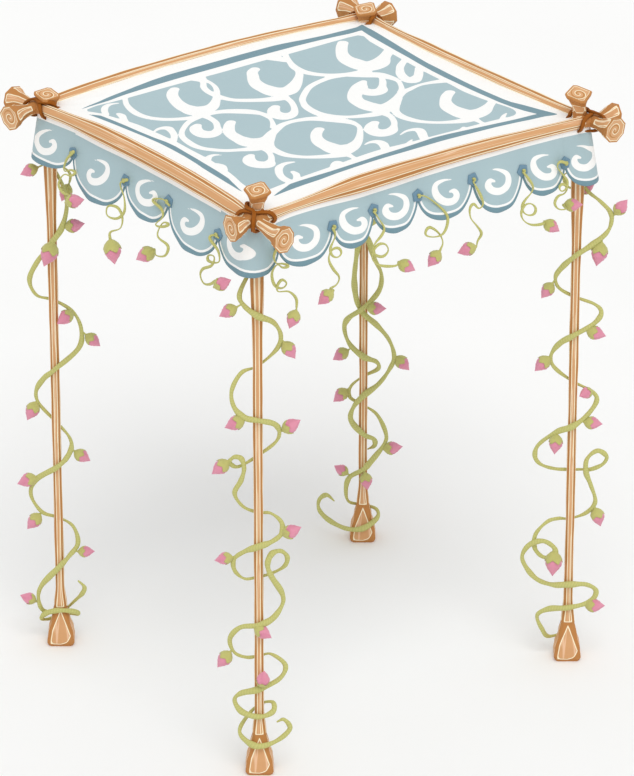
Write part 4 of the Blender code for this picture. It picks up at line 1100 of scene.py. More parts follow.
def swellAt(share, drop):  # how far the cloth stands proud of its plain slope
    depth = max(0.0, min(1.0, drop / valance["deepest"]))
    folds = 0.25 * math.sin(6 * math.pi * share) * (depth ** 2)
    return valance["swell"] * depth * (math.sin(math.pi * share) ** 2 + folds)


def sidePlace(name, offset):  # share of a rail at an offset along its valance
    return (sideWays[name][0] * offset).dot(Vector((1, 1, 0))) / railHalf(name)


def standsProud(drop, share):
    proud = valance["standOff"] + valance["flare"] * drop
    return proud if share is None else proud + swellAt(share, drop)


def sidePoint(name, offset, drop, share=None):
    return railAxis(name, sidePlace(name, offset)) + sideWays[name][1] * standsProud(drop, share) - up * drop


def sideRailRadius(name, offset):
    return railRadius(name, sidePlace(name, offset))


def cornerNotches(corner):  # the notches beside a corner lobe: distance from the crossing, and depth
    x, y = corners[corner]
    found = []
    for side, way in (("front" if y < 0 else "back", Vector((x, 0, 0))),
                      ("left" if x < 0 else "right", Vector((0, y, 0)))):
        turn = sideWays[side][0].dot(way)
        offset, depth = max(valance["notches"][side], key=lambda notch: notch[0] * turn)
        found.append((railHalf(side) - offset * turn, depth))
    return found


def cornerLayout(corner):  # lengths of a corner lobe: on its X side, round the corner, on its Y side
    radius = valance["cornerRadius"]
    straight = [reach - radius - valance["seam"] for reach, _ in cornerNotches(corner)]
    return straight[0], radius * math.pi / 2, straight[1]


def cornerPoint(corner, stop, drop, share=None):
    signX, signY = corners[corner]
    radius = valance["cornerRadius"]
    straightX, arc, _ = cornerLayout(corner)
    x, y = canopy["crossX"] - radius, canopy["crossY"] - radius
    if stop <= straightX:
        x, y, out = x - straightX + stop, y + radius, Vector((0, 1, 0))
    elif stop <= straightX + arc:
        turn = (stop - straightX) / radius
        out = Vector((math.sin(turn), math.cos(turn), 0))
        x, y = x + radius * out.x, y + radius * out.y
    else:
        x, y, out = x + radius, y - (stop - straightX - arc), Vector((1, 0, 0))
    railX = "front" if signY < 0 else "back"
    railY = "left" if signX < 0 else "right"
    if abs(out.y) > abs(out.x):
        rise = railAxis(railX, x / canopy["crossX"] * signX).z
    else:
        rise = railAxis(railY, y / canopy["crossY"] * signY).z
    bow = rails[railY]["bow"] * (1 - (y / canopy["crossY"]) ** 2) if out.x == 1 else 0.0
    proud = valance["standOff"] + valance["flare"] * drop + bow
    if share is not None:
        proud += swellAt(share, drop)
    return Vector((signX * (x + out.x * proud), signY * (y + out.y * proud), rise - drop))


def bindingWidth(share):
    wide = math.sin(math.pi * share) ** 1.4 * (1 + 0.35 * math.sin(2 * math.pi * share))
    return valance["bindingNarrow"] + (valance["bindingWide"] - valance["bindingNarrow"]) * wide


def lobeShares(count):
    return [0.5 - 0.5 * math.cos(math.pi * k / count) for k in range(count + 1)]


def voluteStroke(centre, turn, lean, wide, deepest):
    tall = valance["voluteHeight"]
    middle = valance["voluteDrop"] + valance["voluteFollow"] * (deepest - valance["plainLobe"])
    return [(centre + a * turn * wide, (b + lean * a * turn) * tall - middle, width * tall)
            for a, b, width in valance["volute"]]


def buildValancePanel(name, lobes, pointAt, radiusAt, wide, node):
    # lobes are (start, end, depths, volute turn, lean) along the panel, left to right or right to left
    shift = valance["voluteShift"].get(node.replace("_valance_corner", ""), 0.0)
    columns, rows = [], valance["rows"]
    for start, end, depths, _, _ in lobes:
        shares = lobeShares(valance["columnsPerLobe"])
        for share in shares if not columns else shares[1:]:
            columns.append((start + (end - start) * share, share, depths))
    rings, spots = [], []
    for row in range(rows + 1):
        ring = []
        for offset, share, depths in columns:
            top = radiusAt(offset) - valance["tuck"]
            drop = top + (lobeDrop(share, depths) - top) * row / rows
            ring.append(pointAt(offset, drop, share))
            spots.append((offset, -drop))
        rings.append(ring)
    spots = np.array(spots)
    edge = np.array([(start + (end - start) * s, -lobeDrop(s, depths))
                     for start, end, depths, _, _ in lobes for s in lobeShares(60)])
    widths = np.array([bindingWidth(s) for _ in lobes for s in lobeShares(60)])
    trim = np.full(len(spots), 1.0)
    for a, b, w in zip(edge, edge[1:], widths):
        trim = np.minimum(trim, segmentGap(spots, a, b)[0] - w)
    white = trim - valance["piping"]
    hem = -spots[:, 1] - np.array([radiusAt(o) for o in spots[:, 0]]) - valance["hem"]
    strokes = [voluteStroke((start + end) / 2 + shift, turn, lean, wide, depths[2])
               for start, end, depths, turn, lean in lobes]
    white = np.minimum(np.minimum(white, hem), strokeDistance(spots, strokes))
    grid = (rows + 1, len(columns))
    fields = {"white": white.reshape(grid).tolist(), "dark": trim.reshape(grid).tolist()}
    shape = rolledSheet(rings, lambda c, r: (columns[c][0] + 2, 1 - r * 0.006), fields, closedRound=False)
    if sum(f.normal.xy.dot(f.calc_center_median().xy) for f in shape.faces) < 0:
        bmesh.ops.reverse_faces(shape, faces=shape.faces)
    area = sum(f.calc_area() for f in shape.faces)
    panel = finishPiece(name, shape, [printedCloth, lining], [node], closed=False)
    thicken(panel, valance["thickness"])
    hem = buildBinding(name + "_binding", lobes, pointAt)
    return panel, hem, area


def buildBinding(name, lobes, pointAt):  # folded tape sewn over the scalloped edge
    whole = None
    for start, end, depths, _, _ in lobes:
        shares = lobeShares(valance["bindingRings"])[1:-1]
        rings, step = [], 0.002
        for share in shares:
            offset, drop = start + (end - start) * share, lobeDrop(share, depths)
            lowShare, highShare = max(0.0, share - step), min(1.0, share + step)
            before = np.array((start + (end - start) * lowShare, lobeDrop(lowShare, depths)))
            after = np.array((start + (end - start) * highShare, lobeDrop(highShare, depths)))
            way = after - before
            way = way / np.hypot(*way)
            inward = np.array((way[1], -way[0])) * math.copysign(1, end - start)
            width = bindingWidth(share)
            here = pointAt(offset, drop, share)
            inner = pointAt(offset + inward[0] * width, drop + inward[1] * width, share)
            along = (pointAt(*after, highShare) - pointAt(*before, lowShare)).normalized()
            across = (inner - here).normalized()
            middle = here + across * (width / 2 - valance["bindingOver"])
            rings.append(roundedStrip(
                middle, across, along.cross(across), width / 2 + valance["bindingOver"],
                valance["bindingThick"] / 2, valance["bindingColumns"], valance["bindingRoundness"])[0])
        shape = rolledSheet(rings, lambda c, r: (c * 0.003, r * 0.006))
        closeHoles(shape)
        if whole is None:
            whole = shape
        else:
            addTo(whole, shape)
    return finishPiece(name, whole, [binding])


def buildValances():
    for name in rails:
        notches, deepest = valance["notches"][name], valance["lobes"][name]
        lobes = [(a, b, (first, last, deep), turn, valance["lean"][name])
                 for (a, first), (b, last), deep, turn
                 in zip(notches, notches[1:], deepest, valance["turns"][name])]
        panel, hem, area = buildValancePanel(
            f"{name}_valance_sheet", lobes, lambda o, d, s=None, n=name: sidePoint(n, o, d, s),
            lambda o, n=name: sideRailRadius(n, o), valance["voluteWidth"][name], f"{name}_valance")
    for corner in corners:
        straightX, arc, straightY = cornerLayout(corner)
        total = straightX + arc + straightY
        # seen from outside, two of the corners run the other way
        flip = -1 if corner in ("front_left", "back_right") else 1
        (_, first), (_, last) = cornerNotches(corner)
        deepest = cornerWork[corner]["lobe"]
        lobes = [(0.0, total, (first, last, deepest), flip * valance["turns"][corner],
                  flip * valance["lean"][corner])]
        panel, hem, area = buildValancePanel(
            f"{corner}_valance_lobe", lobes, lambda o, d, s=None, c=corner: cornerPoint(c, o, d, s),
            lambda o: canopy["lapRadius"], valance["voluteWidth"][corner], f"{corner}_valance_corner")


buildValances()
print("valance built")

# Rosebuds: a satin bud wound of ribbon in a felt calyx with five tips

bud = {
    "length": 0.083, "radius": 0.0255, "columns": 30, "bodySteps": 15, "cupSteps": 9,
    "petalTwist": 1.1, "petalLift": 0.13, "calyxLift": 0.07, "calyxThick": 0.0016,
    "body": [(0.16, 0.30), (0.28, 0.74), (0.40, 0.94), (0.55, 0.93), (0.70, 0.71), (0.84, 0.40), (0.94, 0.14),
             (1.0, 0.02)],
    "calyx": [(0.0, 0.14), (0.05, 0.22), (0.13, 0.58), (0.24, 0.88), (0.36, 1.03), (0.50, 1.07)],
    "calyxTips": 5, "tipStart": 0.34, "tipLength": 0.15, "petals": 3, "bend": 0.0035,
}


def budShapes(base, tip, size=1.0):
    way = tip - base
    length = bud["length"] * size
    along = way.normalized()
    side = along.orthogonal().normalized()
    across = along.cross(side)
    columns = bud["columns"]
    radius = bud["radius"] * size
    rings, folds = [], []
    start = bud["body"][0][0]
    for k in range(bud["bodySteps"] + 1):
        place = start + (1.0 - start) * k / bud["bodySteps"]
        reach = eased(bud["body"], place) * radius
        ring, fold = [], []
        for c in range(columns):
            angle = 2 * math.pi * c / columns
            # each petal's edge rises, then drops to the next one
            ramp = (bud["petals"] * (c / columns) + bud["petalTwist"] * place) % 1.0
            lift = 1.0 + bud["petalLift"] * ramp * math.sin(math.pi * min(1.0, place * 1.05))
            bend = side * bud["bend"] * size * max(0.0, place - 0.5) * 2
            ring.append(base + bend + along * (length * place) + spoke(side, across, angle) * reach * lift)
            fold.append(ramp)
        rings.append(ring)
        folds.append(fold)
    body = rolledSheet(rings, lambda c, r: (c / columns * 0.12, r * 0.005), {"fold": folds})
    cupRings = []
    for k in range(bud["cupSteps"] + 1):
        share = k / bud["cupSteps"]
        ring = []
        for c in range(columns):
            phase = (bud["calyxTips"] * c / columns) % 1.0
            tooth = 1 - abs(2 * phase - 1)
            place = share * (bud["tipStart"] + bud["tipLength"] * tooth)
            reach = eased(bud["calyx"], place) * radius * (1.0 + bud["calyxLift"] * tooth * share)
            angle = 2 * math.pi * c / columns
            ring.append(base + along * (length * place) + spoke(side, across, angle) * reach)
        cupRings.append(ring)
    inner = [[p - (p - (base + along * (p - base).dot(along))).normalized() * bud["calyxThick"] for p in ring]
             for ring in reversed(cupRings)]
    return body, rolledSheet(cupRings + inner, lambda c, r: (c / columns * 0.12, r * 0.005))


def addBud(shape, base, tip, size=1.0):
    body, cup = budShapes(base, tip, size)
    for other, materialIndex in ((cup, 1), (body, 2)):
        closeHoles(other)
        bmesh.ops.recalc_face_normals(other, faces=other.faces)
        addTo(shape, other, materialIndex)


# Garlands down the posts: height, offset to the side and depth. The depth is a share of the
# distance at which the stem touches its post, 1 in front of it and -1 behind it.
garlands = {
    "thick": 0.0085, "swing": 0.0030, "columns": 12, "pedicel": 0.0036,
    "sunk": 0.002,  # how far a stem is pressed on to its post
    "startRadius": 0.005, "tailRadius": 0.0032, "thinnest": 0.003,
    "swells": ((0.16, 0.31), (0.07, 0.83)),  # size and pace of the unevenness along a stem
    "routes": {
        "back_left": [
            (2.06, 0.0, -1.0), (1.97, 0.045, -0.6), (1.89, 0.060, 0.0), (1.81, 0.040, 0.7),
            (1.75, 0.0, 1.0), (1.66, -0.060, 0.5), (1.58, -0.091, 0.0), (1.51, -0.065, -0.5),
            (1.485, 0.0, -1.0), (1.44, 0.075, -0.4), (1.37, 0.106, 0.0), (1.292, 0.094, 0.3),
            (1.21, 0.0, 1.0), (1.165, -0.045, 0.6), (1.105, -0.076, 0.0), (1.045, -0.066, -0.4),
            (0.958, 0.0, -1.0), (0.905, 0.046, -0.5), (0.865, 0.058, 0.0), (0.825, 0.040, 0.7),
            (0.786, 0.0, 1.0), (0.723, -0.085, 0.4), (0.651, -0.107, 0.0), (0.570, -0.066, -0.5),
            (0.540, 0.0, -1.0), (0.508, 0.056, -0.4), (0.438, 0.075, 0.0), (0.390, 0.040, 0.7),
            (0.345, 0.0, 1.0), (0.260, -0.070, 0.5), (0.195, -0.088, 0.0), (0.130, -0.070, -0.3),
            (0.105, 0.0, -1.0), (0.116, 0.062, -0.2), (0.140, 0.060, 0.5), (0.156, 0.0, 1.0),
            (0.135, -0.056, 0.5), (0.100, -0.078, 0.0), (0.080, -0.050, -0.7), (0.100, 0.0, -1.15),
            (0.170, 0.055, -0.5), (0.214, 0.089, 0.0), (0.242, 0.096, 0.0), (0.270, 0.072, 0.0)],
        "front_left": [
            (2.08, -0.020, -0.9), (1.99, -0.064, 0.0), (1.95, -0.048, 0.6), (1.915, 0.0, 1.0),
            (1.883, 0.058, 0.6), (1.823, 0.086, 0.0), (1.760, 0.070, -0.4), (1.687, 0.0, -1.0),
            (1.664, -0.060, -0.5), (1.597, -0.096, 0.0), (1.535, -0.088, 0.3), (1.498, -0.050, 0.8),
            (1.489, 0.0, 1.0), (1.468, 0.060, 0.5), (1.428, 0.080, 0.0), (1.379, 0.064, -0.5),
            (1.321, 0.0, -1.0), (1.284, -0.060, -0.6), (1.280, -0.088, -0.5), (1.303, -0.106, -0.2),
            (1.326, -0.088, 0.1), (1.320, -0.062, 0.2), (1.280, -0.052, 0.3), (1.230, -0.064, 0.2),
            (1.174, -0.088, 0.0), (1.112, -0.056, -0.6), (1.085, 0.0, -1.0), (1.084, 0.046, -0.7),
            (1.055, 0.086, 0.0), (1.010, 0.086, 0.3), (0.983, 0.048, 0.8), (0.966, 0.0, 1.0),
            (0.940, -0.052, 0.6), (0.900, -0.092, 0.0), (0.848, -0.090, -0.3), (0.808, -0.052, -0.8),
            (0.815, 0.0, -1.0), (0.830, 0.046, -0.8), (0.866, 0.096, -0.3), (0.908, 0.108, 0.0),
            (0.938, 0.084, 0.3), (0.930, 0.050, 0.6), (0.890, 0.034, 0.9), (0.840, 0.048, 0.9),
            (0.766, 0.086, 0.4), (0.715, 0.090, 0.2), (0.661, 0.054, 0.7), (0.635, 0.0, 1.0),
            (0.618, -0.070, 0.5), (0.563, -0.110, 0.0), (0.500, -0.094, -0.4), (0.474, -0.048, -0.8),
            (0.478, 0.0, -1.0), (0.488, 0.045, -0.8), (0.451, 0.099, 0.0), (0.400, 0.078, 0.5),
            (0.362, 0.0, 1.0), (0.336, -0.070, 0.5), (0.300, -0.094, 0.1), (0.258, -0.066, 0.6),
            (0.243, 0.0, 1.0), (0.258, 0.052, 0.5), (0.286, 0.050, -0.4), (0.270, 0.0, -1.0),
            (0.215, -0.050, -0.7), (0.166, -0.076, 0.0), (0.136, -0.050, 0.6), (0.124, 0.0, 1.0),
            (0.136, 0.068, 0.5), (0.176, 0.116, 0.0), (0.214, 0.094, -0.1), (0.204, 0.066, -0.1)],
        "front_right": [
            (2.06, 0.0, -1.0), (2.00, 0.040, -0.7), (1.965, 0.088, -0.1), (1.920, 0.128, 0.0),
            (1.875, 0.132, 0.0), (1.833, 0.112, 0.2), (1.790, 0.056, 0.7), (1.754, 0.0, 1.0),
            (1.700, -0.050, 0.5), (1.650, -0.077, 0.0), (1.598, -0.062, -0.5), (1.556, 0.0, -1.0),
            (1.532, 0.076, -0.3), (1.500, 0.103, 0.0), (1.460, 0.076, 0.5), (1.417, 0.0, 1.0),
            (1.376, -0.056, 0.6), (1.318, -0.088, 0.0), (1.262, -0.074, -0.4), (1.196, 0.0, -1.0),
            (1.162, 0.072, -0.3), (1.125, 0.094, 0.0), (1.070, 0.058, 0.6), (1.025, 0.0, 1.0),
            (0.996, -0.060, 0.6), (0.935, -0.128, 0.0), (0.885, -0.143, 0.0), (0.846, -0.120, -0.2),
            (0.821, -0.064, -0.7), (0.815, 0.0, -1.0), (0.818, 0.048, -0.7), (0.822, 0.080, -0.4),
            (0.846, 0.124, -0.2), (0.882, 0.138, 0.0), (0.908, 0.102, 0.1), (0.876, 0.062, 0.3),
            (0.820, 0.058, 0.4), (0.762, 0.078, 0.3), (0.685, 0.098, 0.0), (0.630, 0.064, -0.5),
            (0.600, 0.0, -1.0), (0.602, -0.045, -0.8), (0.592, -0.090, -0.3), (0.540, -0.134, -0.1),
            (0.480, -0.136, 0.0), (0.444, -0.104, 0.2), (0.452, -0.062, 0.6), (0.490, -0.060, 0.7),
            (0.518, -0.104, 0.5), (0.500, -0.158, 0.4), (0.448, -0.186, 0.3), (0.392, -0.166, 0.2),
            (0.345, -0.122, 0.4), (0.329, -0.062, 0.8), (0.333, 0.0, 1.0), (0.327, 0.070, 0.6),
            (0.293, 0.110, 0.3), (0.250, 0.084, 0.6), (0.231, 0.0, 1.0), (0.218, -0.076, 0.5),
            (0.182, -0.122, 0.1), (0.118, -0.100, 0.0), (0.076, -0.072, -0.4), (0.084, 0.0, -1.0)],
        "back_right": [
            (2.06, 0.0, -1.0), (1.98, 0.062, -0.5), (1.90, 0.084, 0.0), (1.84, 0.060, 0.6),
            (1.78, 0.0, 1.0), (1.73, -0.060, 0.5), (1.67, -0.086, 0.0), (1.61, -0.060, -0.6),
            (1.56, 0.0, -1.0), (1.53, 0.062, -0.5), (1.49, 0.082, 0.0), (1.45, 0.056, 0.6),
            (1.41, 0.0, 1.0), (1.355, 0.022, 1.0), (1.275, 0.044, 0.6), (1.200, 0.072, 0.0),
            (1.130, 0.062, 0.5), (1.070, 0.0, 1.7), (1.012, -0.062, 0.8), (0.958, -0.078, 0.2),
            (0.893, -0.056, 0.6), (0.842, 0.0, 1.0), (0.812, 0.054, 0.5), (0.774, 0.060, 0.0),
            (0.730, 0.0, -1.0), (0.690, -0.050, -0.5), (0.640, -0.054, -0.5), (0.600, 0.0, -1.0),
            (0.560, 0.058, -0.5), (0.480, 0.095, 0.0), (0.432, 0.086, 0.4), (0.365, 0.030, 1.3),
            (0.332, 0.0, 1.4), (0.286, -0.055, 0.6), (0.222, -0.070, 0.0), (0.158, -0.058, -0.5),
            (0.134, 0.0, -1.0), (0.128, 0.056, -0.2), (0.100, 0.060, 0.4), (0.070, 0.0, 1.0),
            (0.062, -0.070, 0.7), (0.088, -0.142, 0.3), (0.132, -0.182, 0.1), (0.176, -0.180, 0.0),
            (0.196, -0.150, 0.0), (0.168, -0.118, 0.0)],
    },
    "fork": [
        (1.41, 0.0, 1.0), (1.355, -0.020, 1.0), (1.250, -0.034, 0.9), (1.168, -0.038, 0.8),
        (1.085, -0.026, 0.9), (1.035, 0.0, 1.0), (0.977, 0.056, 0.6), (0.906, 0.106, 0.2),
        (0.829, 0.127, 0.0), (0.775, 0.108, 0.2), (0.714, 0.064, 0.6), (0.664, 0.0, 1.0),
        (0.610, -0.040, 0.8), (0.550, -0.050, 0.7), (0.490, 0.0, 1.0), (0.462, 0.044, 0.6),
        (0.425, 0.048, 0.0), (0.398, 0.020, -0.9)],
    # bud tips: height, offset to the side, distance forwards and size; one over full size hangs down
    "tips": {
        "back_left": [
            (2.020, -0.118, 0.0, 0.9), (1.824, 0.130, 0.02, 1.0), (1.660, -0.030, 0.07, 1.3),
            (1.408, 0.012, 0.06, 1.0), (1.300, 0.180, 0.0, 1.0), (0.982, -0.113, 0.02, 1.0),
            (0.798, 0.130, 0.0, 1.0), (0.711, -0.160, 0.02, 1.0), (0.498, -0.125, 0.0, 1.0),
            (0.406, 0.142, 0.02, 0.9), (0.207, -0.160, 0.0, 0.9)],
        "front_left": [
            (1.909, -0.141, 0.02, 1.0), (1.728, 0.140, 0.0, 1.0), (1.459, -0.124, 0.02, 1.0),
            (1.474, 0.160, 0.0, 1.0), (1.255, -0.172, 0.0, 1.0), (1.039, 0.162, 0.02, 1.0),
            (0.898, -0.166, 0.0, 0.9), (0.592, 0.050, 0.06, 1.0), (0.440, -0.158, 0.0, 1.0),
            (0.450, 0.020, 0.07, 1.0)],
        "front_right": [
            (1.972, 0.192, 0.0, 1.0), (1.707, 0.078, 0.04, 1.3), (1.560, -0.130, 0.0, 1.0),
            (1.405, 0.122, 0.02, 1.0), (1.251, -0.150, 0.0, 1.0), (1.158, 0.022, 0.06, 0.9),
            (1.029, 0.118, 0.02, 1.0), (0.908, -0.068, 0.05, 1.0), (0.577, 0.122, 0.0, 1.0),
            (0.378, -0.066, 0.06, 1.3), (0.231, 0.146, 0.02, 1.0)],
        "back_right": [
            (1.809, -0.110, 0.02, 1.0), (1.860, 0.160, 0.0, 1.0), (1.540, 0.150, 0.0, 1.0),
            (1.064, 0.093, 0.05, 1.0), (0.770, 0.190, 0.0, 1.0), (0.827, -0.127, 0.02, 1.0),
            (0.625, -0.125, 0.0, 1.0), (0.425, 0.165, 0.02, 1.0), (0.344, -0.118, 0.02, 0.9),
            (0.245, 0.020, 0.06, 1.0)],
    },
}


def stemRadius(depth):
    return garlands["thick"] + garlands["swing"] * max(-1.0, min(depth, 1.0))


def garlandPoint(corner, height, side, depth):
    radius = eased(postProfile, height) + stemRadius(depth) - garlands["sunk"]
    return postCentre(corner) + sideways * side + forwards * (depth * radius) + up * height


def stemShape(corner, route):
    knots = [(*garlandPoint(corner, *stop), stemRadius(stop[2])) for stop in route]
    knots[-1] = (*knots[-1][:3], garlands["tailRadius"])
    knots[0] = (*knots[0][:3], garlands["startRadius"])
    line = smoothLine(knots, 8)
    (big, slow), (small, quick) = garlands["swells"]
    swell = [1 + big * math.sin(slow * k) + small * math.sin(quick * k) for k in range(len(line))]
    radii = [max(garlands["thinnest"], p[3] * s) for p, s in zip(line, swell)]
    return [Vector(p[:3]) for p in line], tubeShape([p[:3] for p in line], radii, garlands["columns"])


def nearestReach(points, tip, size):  # the stem point from which a bud best reaches its tip
    length = bud["length"] * size
    if size > 1:
        points = [point for point in points if point.z > tip.z + 0.7 * length]
    return min(points, key=lambda point: abs((point - tip).length - length * 1.12)
               + 0.7 * abs((point - tip).dot(forwards)))


def addBudWithStalk(shape, start, tip, size=1.0):
    tip = tip - forwards * (tip - start).dot(forwards) * 0.45
    way = (tip - start).normalized()
    base = tip - way * bud["length"] * size
    stalk = [start, start.lerp(base, 0.5) + up * 0.002, base + way * 0.006]
    if (base - start).length > 0.004:
        addTo(shape, tubeShape(smoothLine(stalk, 4), [garlands["pedicel"]] * 9, 8))
    addBud(shape, base, tip, size)


def buildGarlands():
    for corner, route in garlands["routes"].items():
        points, shape = stemShape(corner, route)
        if corner == "back_right":
            more, fork = stemShape(corner, garlands["fork"])
            points = points + more
            addTo(shape, fork)
        for height, side, out, size in garlands["tips"][corner]:
            tip = postCentre(corner) + sideways * side + forwards * out + up * height
            uneven = size * (0.98 + 0.05 * math.sin(91 * height))
            addBudWithStalk(shape, nearestReach(points, tip, size), tip, uneven)
        finishPiece(f"{corner}_garland_stem", shape, [stemTape, leafFelt, petalSatin],
                    [f"{corner}_garland"], closed=False)


buildGarlands()
print("garlands built")

# Tendrils that hang from ribbon knots in the valance's notches

tendrils = {
    "radius": 0.0040, "columns": 10, "spacing": 0.0045,
    "budSizes": {"a": 1.0, "b": 1.25, "c": 1.1},
    # routes as offsets from the notch in the drawing's pixels, right and down, on the side where they
    # were read: the last point is the bud's tip
    "drawn": {
        "left": {
            "a": [(1, -1), (-7, 6), (-10, 17), (-3, 16), (2, 19), (-3, 22), (-9.5, 20), (-16, 30), (-11, 38),
                  (-6, 39.5), (2, 43), (11.5, 45)],
            "b": [(2, 0), (-6, 3), (-2, 16), (-2, 30), (-10, 36), (-20, 32), (-19, 24), (-8, 26), (-4, 36),
                  (-6, 45), (-17, 49), (-17, 54), (-11, 62), (-12, 80)],
            "c": [(1, 5), (-6, -2), (-17, -2), (-7, 8), (-6, 14), (-14, 22), (-7, 24), (0, 22), (-6, 20),
                  (-12, 32), (-1, 43), (-4, 51), (-13, 51), (-22, 49), (-34, 55)],
            "d": [(1, 4), (-4, 0), (-9, 2), (0, 16), (1, 25), (-5, 26), (-11, 23), (-10, 19), (-4, 21),
                  (-6, 28), (-16, 32), (-18, 38), (-15, 45), (-8, 46), (-3, 43), (12.5, 42)]},
        "front": {
            "e": [(0, 0), (-4, 8.4), (-2, 15.4), (4, 15.4), (10, 17.4), (4, 19.4), (-1, 16.4), (-6, 24.4),
                  (-3, 36.4), (4, 38.4), (8, 34.4), (3, 30.4), (-1, 36.4), (-1, 41.4), (10, 41.4),
                  (17, 48.4), (17, 55.4), (14, 60.4), (10, 76.4)],
            "h": [(5, 0), (17, 6), (30, 20), (26, 35), (17, 39), (8, 37), (11, 30), (21, 34.6), (25.4, 43.4),
                  (22.5, 52.8), (10.7, 67.8)]},
    },
    # a metre along a side's valance in pixels, how many of them it drops there, and a metre down
    "pixelsAlong": {"left": (157, -88), "front": (205, 67)}, "pixelsDown": 233,
    # offset along the valance and drop from the notch, as the canopy's own corner sees them, listed one by
    # one; the last point is the bud's tip
    "routes": {
        "f": [(0.003, 0.010), (0.014, 0.039), (0.004, 0.062), (-0.009, 0.085), (-0.004, 0.114),
              (0.022, 0.132), (0.043, 0.120), (0.031, 0.096), (0.006, 0.091), (-0.013, 0.107),
              (-0.016, 0.133), (0.005, 0.175), (0.033, 0.216), (0.020, 0.240), (-0.009, 0.248),
              (-0.071, 0.295)],
        "g": [(0.003, 0.007), (0.030, 0.048), (0.054, 0.090), (0.039, 0.116), (0.012, 0.137),
              (-0.002, 0.164), (0.018, 0.190), (0.051, 0.201), (0.073, 0.185), (0.060, 0.156),
              (0.027, 0.147), (0.003, 0.165), (-0.003, 0.196), (0.021, 0.226), (0.070, 0.247),
              (0.111, 0.255), (0.202, 0.303)],
        "i": [(0.005, 0.012), (0.025, 0.047), (0.045, 0.086), (0.054, 0.120), (0.034, 0.131),
              (0.008, 0.102), (-0.009, 0.116), (-0.006, 0.157), (0.025, 0.199), (0.048, 0.237),
              (0.031, 0.258), (-0.002, 0.265), (-0.072, 0.282)],
        "j": [(0.003, 0.007), (0.033, 0.046), (0.055, 0.085), (0.045, 0.106), (0.018, 0.125),
              (0.002, 0.149), (0.008, 0.174), (0.033, 0.194), (0.063, 0.195), (0.070, 0.175),
              (0.052, 0.152), (0.024, 0.145), (0.005, 0.157), (-0.003, 0.180), (0.012, 0.211),
              (0.052, 0.238), (0.108, 0.247), (0.190, 0.305)],
        "k": [(0.010, 0.008), (-0.027, -0.010), (-0.037, 0.006), (-0.012, 0.043), (0.014, 0.079),
              (0.011, 0.108), (-0.014, 0.116), (-0.027, 0.096), (-0.008, 0.086), (0.015, 0.111),
              (0.002, 0.128), (-0.031, 0.131), (-0.048, 0.156), (-0.028, 0.185), (0.008, 0.194),
              (0.097, 0.202)],
    },
    # route and +1 as drawn or -1 mirrored, for each notch from left to right seen from outside
    "plan": {
        "front": [("e", 1), ("f", 1), ("g", 1), ("h", 1), ("i", 1), ("j", 1), ("k", 1)],
        "left": [("a", 1), ("b", 1), ("c", 1), ("d", 1)],
        "back": [("k", -1), ("g", -1), ("f", -1), ("b", -1), ("j", 1), ("h", -1), ("e", -1)],
        "right": [("d", -1), ("b", -1), ("f", 1), ("a", -1)],
    },
    "knotRadius": 0.0275, "knotHeight": 0.0080,
    "lift": 0.017, "liftWave": 0.006,  # how far a stem hangs in front of the cloth
    # what a metre of standing proud does to a route that is seen aslant: along the valance, and up
    "aslant": {"front": (-0.76, 0.59), "left": (1.31, 0.78), "back": (0.0, 0.0), "right": (0.0, 0.0)},
}


def tendrilRoutes():  # all routes in metres, those read from the drawing to the nearest millimetre
    routes = dict(tendrils["routes"])
    for side, drawn in tendrils["drawn"].items():
        along, fall = tendrils["pixelsAlong"][side]
        for letter, points in drawn.items():
            routes[letter] = [(round(right / along, 3),
                               round((down + fall * (right / along)) / tendrils["pixelsDown"], 3))
                              for right, down in points]
    return routes


def vineLine(knots, spacing):
    # a curve that never overshoots its points, walked in even steps and relaxed into round loops
    knots = [np.array(k, float) for k in knots]
    ends = [2 * knots[0] - knots[1]] + knots + [2 * knots[-1] - knots[-2]]
    fine = []
    for a, b, c, d in zip(ends, ends[1:], ends[2:], ends[3:]):
        t1 = max(1e-3, np.linalg.norm((b - a)[:3]) ** 0.5)
        t2 = t1 + max(1e-3, np.linalg.norm((c - b)[:3]) ** 0.5)
        t3 = t2 + max(1e-3, np.linalg.norm((d - c)[:3]) ** 0.5)
        for t in np.linspace(t1, t2, 16, endpoint=False):
            ab, bc = (a * (t1 - t) + b * t) / t1, (b * (t2 - t) + c * (t - t1)) / (t2 - t1)
            cd = (c * (t3 - t) + d * (t - t2)) / (t3 - t2)
            abc, bcd = (ab * (t2 - t) + bc * t) / t2, (bc * (t3 - t) + cd * (t - t1)) / (t3 - t1)
            fine.append((abc * (t2 - t) + bcd * (t - t1)) / (t2 - t1))
    fine.append(knots[-1])
    fine = np.array(fine)
    walked = np.concatenate([[0], np.cumsum(np.linalg.norm(np.diff(fine[:, :3], axis=0), axis=1))])
    count = max(4, round(walked[-1] / spacing))
    line = np.array([np.interp(np.linspace(0, walked[-1], count), walked, fine[:, k]) for k in range(4)]).T
    for _ in range(4):
        line[1:-1] = line[1:-1] * 0.5 + (line[:-2] + line[2:]) * 0.25
    return line


